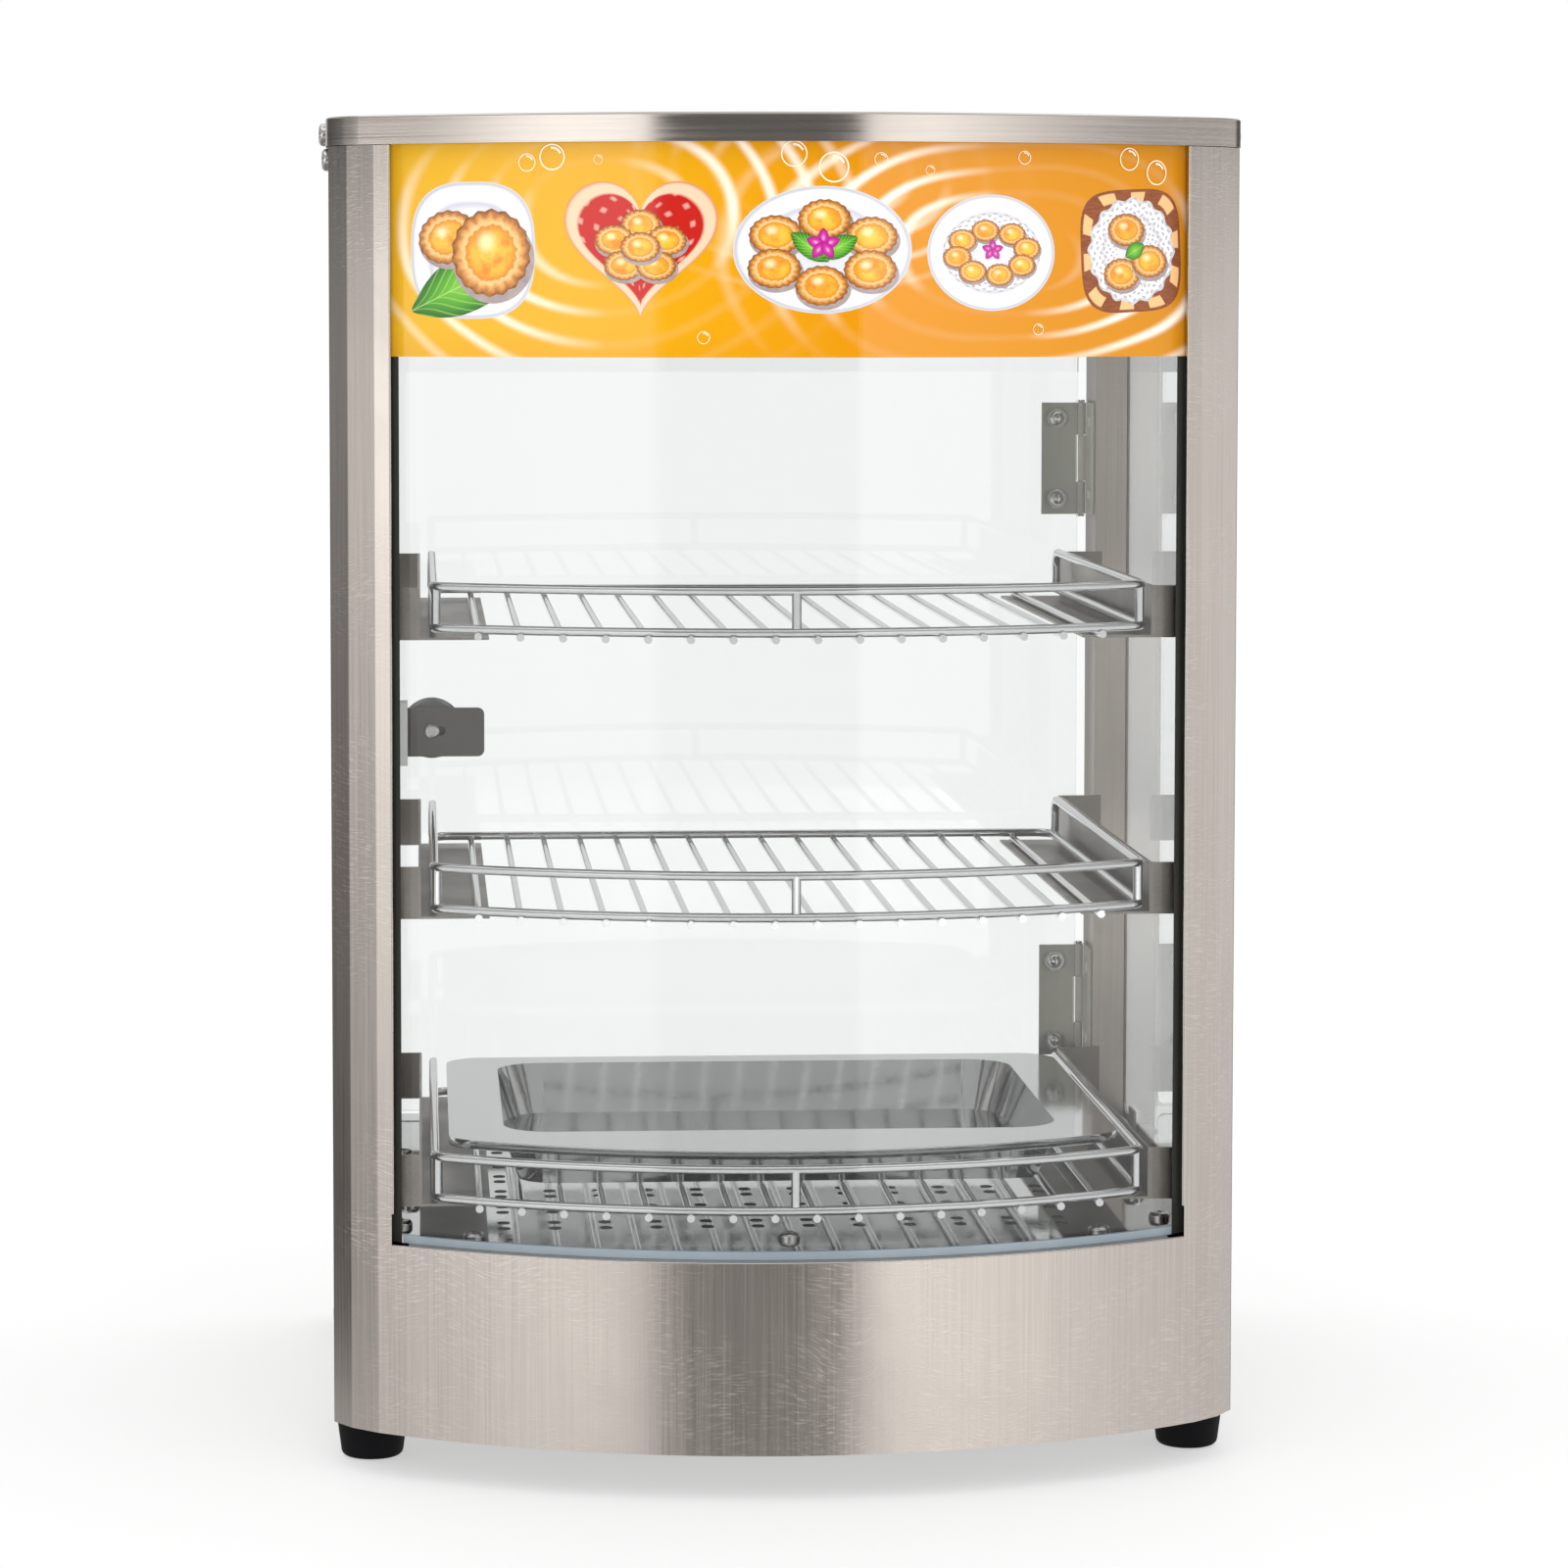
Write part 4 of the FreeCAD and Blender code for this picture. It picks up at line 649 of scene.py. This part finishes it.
def header_print():
    """Five dishes of small tarts, spread over the header."""
    prints = {name: Print(name) for name in PRINT}

    def lay(name, u, v, outline, layer):
        prints[name].patch(u * MM, v * MM, [(a * MM, b * MM) for a, b in outline], layer)

    def tart(u, v, size, layer, flat=0.74, tilt=0.0):
        lay("shadow", u + size * 0.06, v - size * 0.16, oval(size * 1.05, size * flat * 1.02), layer)
        lay("tart", u, v, tilted(oval(size, size * flat, 0.03, 18, 72), tilt), layer + 1)

    def ring_of_tarts(u, v, wide, tall, size, number, layer, start=0.0):
        spots = [(u + wide * math.cos(t), v + tall * math.sin(t))
                 for t in (start + math.tau * i / number for i in range(number))]
        for i, (a, b) in enumerate(sorted(spots, key=lambda p: -p[1])):
            tart(a, b, size, layer + 2 * i)

    def flower(u, v, size, layer):
        for i in range(5):
            turn = math.tau * i / 5 + 0.3
            petal = tilted(leaf(size * 0.62, size * 0.34), turn)
            lay("petal", u + size * 0.5 * math.cos(turn), v + size * 0.42 * math.sin(turn), petal, layer + i)

    lay("plate", -127, 0, rounded_square(26, 2.8), 0)
    lay("leaf", -128, -12, tilted(leaf(27, 11), 0.42), 1)
    tart(-137, 5, 12.5, 3, 0.80, 0.2)
    tart(-119, -1, 16, 6, 1.02, -0.2)

    lay("napkin", -60, 0, heart(29.5), 0)
    ring_of_tarts(-60, 1, 10.5, 8.5, 7.6, 5, 4, 0.3)
    tart(-60, 1, 7.6, 16)

    lay("plate", 9, 0, oval(34, 24), 0)
    ring_of_tarts(9, -1, 21, 12.5, 10.0, 6, 2, 0.5)
    lay("leaf", 4, 1, tilted(leaf(9, 4), 2.5), 20)
    lay("leaf", 15, 1, tilted(leaf(8, 4), 0.5), 21)
    flower(9, 2, 6.0, 22)

    lay("plate", 75, -1, oval(26, 22), 0)
    lay("doily", 75, -1, oval(20, 15), 2)
    ring_of_tarts(75, -1, 14.5, 8.5, 5.6, 8, 4, 0.2)
    flower(75, 0, 4.0, 24)

    lay("board", 136, 0, tilted(rounded_square(23.5, 4.0), 0.05), 0)
    lay("doily", 136, 0, oval(20, 20, 0.035, 16, 96), 2)
    tart(131, -9, 8.2, 4)
    tart(144, -4, 8.4, 6)
    tart(133, 8, 8.4, 8)
    lay("leaf", 137, 0, tilted(leaf(5, 3.2), 0.5), 12)

    for item in prints.values():
        item.finish()
    bubbles()


BUBBLE_STEPS = 40
BUBBLE_LIFT = 0.5 * MM
# in millimetres along and up the header, with the radius
BUBBLES = (
    (-104, 33, 3.4), (-94, 35, 5.0), (-2, 36, 5.0), (13, 31, 5.8), (31, 34, 2.6), (88, 35, 2.6),
    (134, 35, 4.4), (147, 30, 4.8), (-36, -33, 2.4), (94, -30, 2.2), (-76, 34, 1.8), (50, 30, 1.8),
)
# a rim all round and a short glint inside it: inner and outer share of the radius, start and sweep in radians
BUBBLE_RINGS = ((0.90, 1.0, 0.0, math.tau), (0.62, 0.78, 0.4, 1.3))


def bubbles():
    """Thin pale rings with a glint, as if drawn over the ground."""
    m = Nodes("print_bubble", **FILM)
    m.colour(m.mix(m.noise(m.place(), 250.0), (1.0, 0.80, 0.45), (1.0, 0.95, 0.85)))
    mesh = bmesh.new()
    for u, v, size in BUBBLES:
        for inner, outer, start, sweep in BUBBLE_RINGS:
            edges = []
            for i in range(BUBBLE_STEPS + 1):
                turn = start + sweep * i / BUBBLE_STEPS
                across, up = size * math.cos(turn), size * math.sin(turn)
                pair = [((u + across * r) * MM, (v + up * r) * MM) for r in (inner, outer)]
                edges.append([mesh.verts.new(on_banner(*place, BUBBLE_LIFT)) for place in pair])
            for a, b in zip(edges, edges[1:]):
                mesh.faces.new((a[0], b[0], b[1], a[1]))
    new_piece("print_bubbles", mesh, m.material)


# ---------------------------------------------------------------- floor, light and camera
FLOOR_HALF = 30.0  # metres
FLOOR_DROP = 0.2 * MM  # keeps the floor clear of the feet


def stage():
    """A wide pale floor that also glows a little, so that it keeps its tone to the horizon."""
    mesh = bmesh.new()
    bmesh.ops.create_grid(mesh, x_segments=8, y_segments=8, size=FLOOR_HALF)
    data = bpy.data.meshes.new("floor")
    mesh.to_mesh(data)
    floor = bpy.data.objects.new("floor", data)
    floor.location.z = -FLOOR_DROP
    bpy.context.scene.collection.objects.link(floor)
    m = Nodes("floor", roughness=0.9, emission_color=(1, 1, 1, 1), emission_strength=0.48)
    m.colour(m.mix(m.noise(m.place(), 3.0), (0.51, 0.51, 0.51), (0.53, 0.53, 0.53)))
    data.materials.append(m.material)
    floor.visible_glossy = False


# What the steel and chrome reflect, by azimuth in degrees from straight in front: (azimuth, level above eye
# height, at eye height, towards the floor). Two broad panels stand either side of a dim gap in front.
STUDIO = (
    (-180, 0.80, 0.30, 0.16), (-171, 0.80, 0.30, 0.16), (-167, 0.80, 0.80, 0.74), (-150, 0.10, 0.10, 0.10),
    (-118, 0.12, 0.32, 0.10), (-104, 0.16, 0.37, 0.12), (-96, 0.20, 0.82, 0.36), (-82, 0.24, 0.84, 0.38),
    (-73, 0.28, 1.85, 0.60), (-64, 0.36, 1.85, 0.74), (-58, 0.60, 1.25, 0.77), (-50, 1.02, 1.28, 0.86),
    (-42, 1.44, 1.40, 0.94), (-34, 1.68, 1.60, 1.04), (-18.6, 1.50, 1.45, 0.98), (-18.2, 0.17, 0.14, 0.28),
    (15, 0.17, 0.14, 0.28), (15.4, 1.26, 1.55, 1.30), (26, 1.48, 1.42, 1.20), (34, 1.22, 1.30, 1.12),
    (42, 1.00, 1.10, 1.06), (50, 0.76, 0.94, 1.00), (58, 0.58, 0.88, 0.90), (66, 0.46, 0.84, 0.84),
    (100, 0.48, 0.96, 0.76), (126, 0.50, 0.96, 0.84), (136, 0.10, 0.10, 0.10), (150, 0.10, 0.10, 0.10),
    (167, 0.80, 0.80, 0.74), (171, 0.80, 0.30, 0.16), (180, 0.80, 0.30, 0.16),
)
# the same by height, from straight down (-1) to straight up (1), where it takes over from STUDIO
OVERHEAD = (
    (-1.0, 0.22), (-0.65, 0.30), (-0.42, 0.62), (-0.27, 0.66),
    (0.14, 0.72), (0.34, 0.58), (0.70, 0.34), (0.78, 1.40), (0.90, 1.40), (1.0, 0.45),
)
TAKES_OVER = ((-0.285, 1.0), (-0.270, 0.0), (0.14, 0.0), (0.26, 1.0))
TO_EYE = ((-0.20, 0.0), (0.01, 1.0))  # from the level towards the floor to the level at eye height
TO_ABOVE = ((0.016, 0.0), (0.032, 1.0))  # from the level at eye height to the level above it
ROOM_STRENGTH = 2.0  # levels go over 1, which a ramp can't hold, so that ramps hold them halved
LEFT_CORNER = -70  # degrees
LEFT_LIFT = 0.029  # the floor shows a little higher in what the left-hand corner reflects


def round_about(tree, turned, column):
    """A column of STUDIO, by azimuth."""
    return tree.ramp(turned, *[(row[0] / 360 + 0.5, (row[column] / ROOM_STRENGTH,) * 3) for row in STUDIO])


def by_height(tree, raised, stops, strength=1.0):
    """stops of (height, level), where height goes from straight down (-1) to straight up (1)."""
    return tree.ramp(raised, *[(height / 2 + 0.5, (level / strength,) * 3) for height, level in stops])


def studio_panels(tree):
    """The level that STUDIO and OVERHEAD give each direction."""
    x, y, z = tree.axes(tree.add("ShaderNodeTexCoord").outputs["Generated"])
    azimuth = tree.math("ARCTAN2", x, tree.math("MULTIPLY", y, -1.0))
    turned = tree.math("MULTIPLY_ADD", azimuth, 1 / math.tau, 0.5)
    on_left = tree.math("LESS_THAN", turned, 0.5 + LEFT_CORNER / 360)
    raised = tree.math("MULTIPLY_ADD", z, 0.5, 0.5)
    edge = tree.math("SUBTRACT", raised, tree.math("MULTIPLY", on_left, LEFT_LIFT))
    above, level_with, lower = [round_about(tree, turned, column) for column in (1, 2, 3)]
    around_eye = tree.mix(by_height(tree, raised, TO_EYE), lower, level_with)
    sides = tree.mix(by_height(tree, raised, TO_ABOVE), around_eye, above)
    overhead = by_height(tree, raised, OVERHEAD, ROOM_STRENGTH)
    return tree.mix(by_height(tree, edge, TAKES_OVER), sides, overhead)


def world():
    """White all round; in reflections, a studio of soft panels and dim gaps."""
    surroundings = bpy.data.worlds.new("studio")
    bpy.context.scene.world = surroundings
    surroundings.use_nodes = True
    tree = Tree(surroundings.node_tree)
    tree.tree.nodes.clear()
    paper = tree.add("ShaderNodeBackground")
    paper.inputs["Color"].default_value = (1, 1, 1, 1)
    room = tree.add("ShaderNodeBackground")
    room.inputs["Strength"].default_value = ROOM_STRENGTH
    tree.link(studio_panels(tree), room.inputs["Color"])
    reflected = tree.math("GREATER_THAN", tree.add("ShaderNodeLightPath").outputs["Glossy Depth"], 0.5)
    mixer = tree.add("ShaderNodeMixShader")
    for source, socket in zip((reflected, paper.outputs[0], room.outputs[0]), mixer.inputs):
        tree.link(source, socket)
    tree.link(mixer.outputs[0], tree.add("ShaderNodeOutputWorld").inputs["Surface"])


def soft_panel(name, place, aim, size, power):
    """A soft panel that lights the case from place. The world shows its reflection."""
    light = bpy.data.lights.new(name, "AREA")
    light.shape = "SQUARE"
    light.size, light.energy = size, power
    lamp = bpy.data.objects.new(name, light)
    lamp.location = place
    lamp.rotation_euler = (Vector(aim) - Vector(place)).to_track_quat("-Z", "Y").to_euler()
    lamp.visible_camera = False
    lamp.visible_glossy = False
    lamp.visible_transmission = False
    bpy.context.scene.collection.objects.link(lamp)


def lights():
    """Two low panels in front of the case, either side, and a weak one overhead."""
    for side in (-1, 1):
        soft_panel(f"panel_{side}", (side * 0.5, -2.2, 0.35), (0, 0, 0.3), 0.6, 9.0)
    soft_panel("panel_top", (0.1, 0.1, 1.8), (0, 0, 0), 1.4, 2.5)


def camera():
    """Stands in front and a little left of the case, above its middle, and looks slightly down at it."""
    centre = (cad_low + cad_high) / 2
    data = bpy.data.cameras.new("camera")
    data.sensor_width, data.lens = 36.0, 112.3
    data.shift_x, data.shift_y = 0.06, -0.10
    lens = bpy.data.objects.new("camera", data)
    lens.location = (centre.x - 0.148, cad_low.y - 1.8325, 0.4556)
    target = Vector((centre.x - 0.0375, cad_low.y + 0.07, 0.3292))
    lens.rotation_euler = (target - lens.location).to_track_quat("-Z", "Y").to_euler()
    bpy.context.scene.collection.objects.link(lens)
    bpy.context.scene.camera = lens


dress_cad_nodes()
banner_sheet()
header_print()
stage()
world()
lights()
camera()
bpy.context.scene.view_settings.view_transform = "Standard"
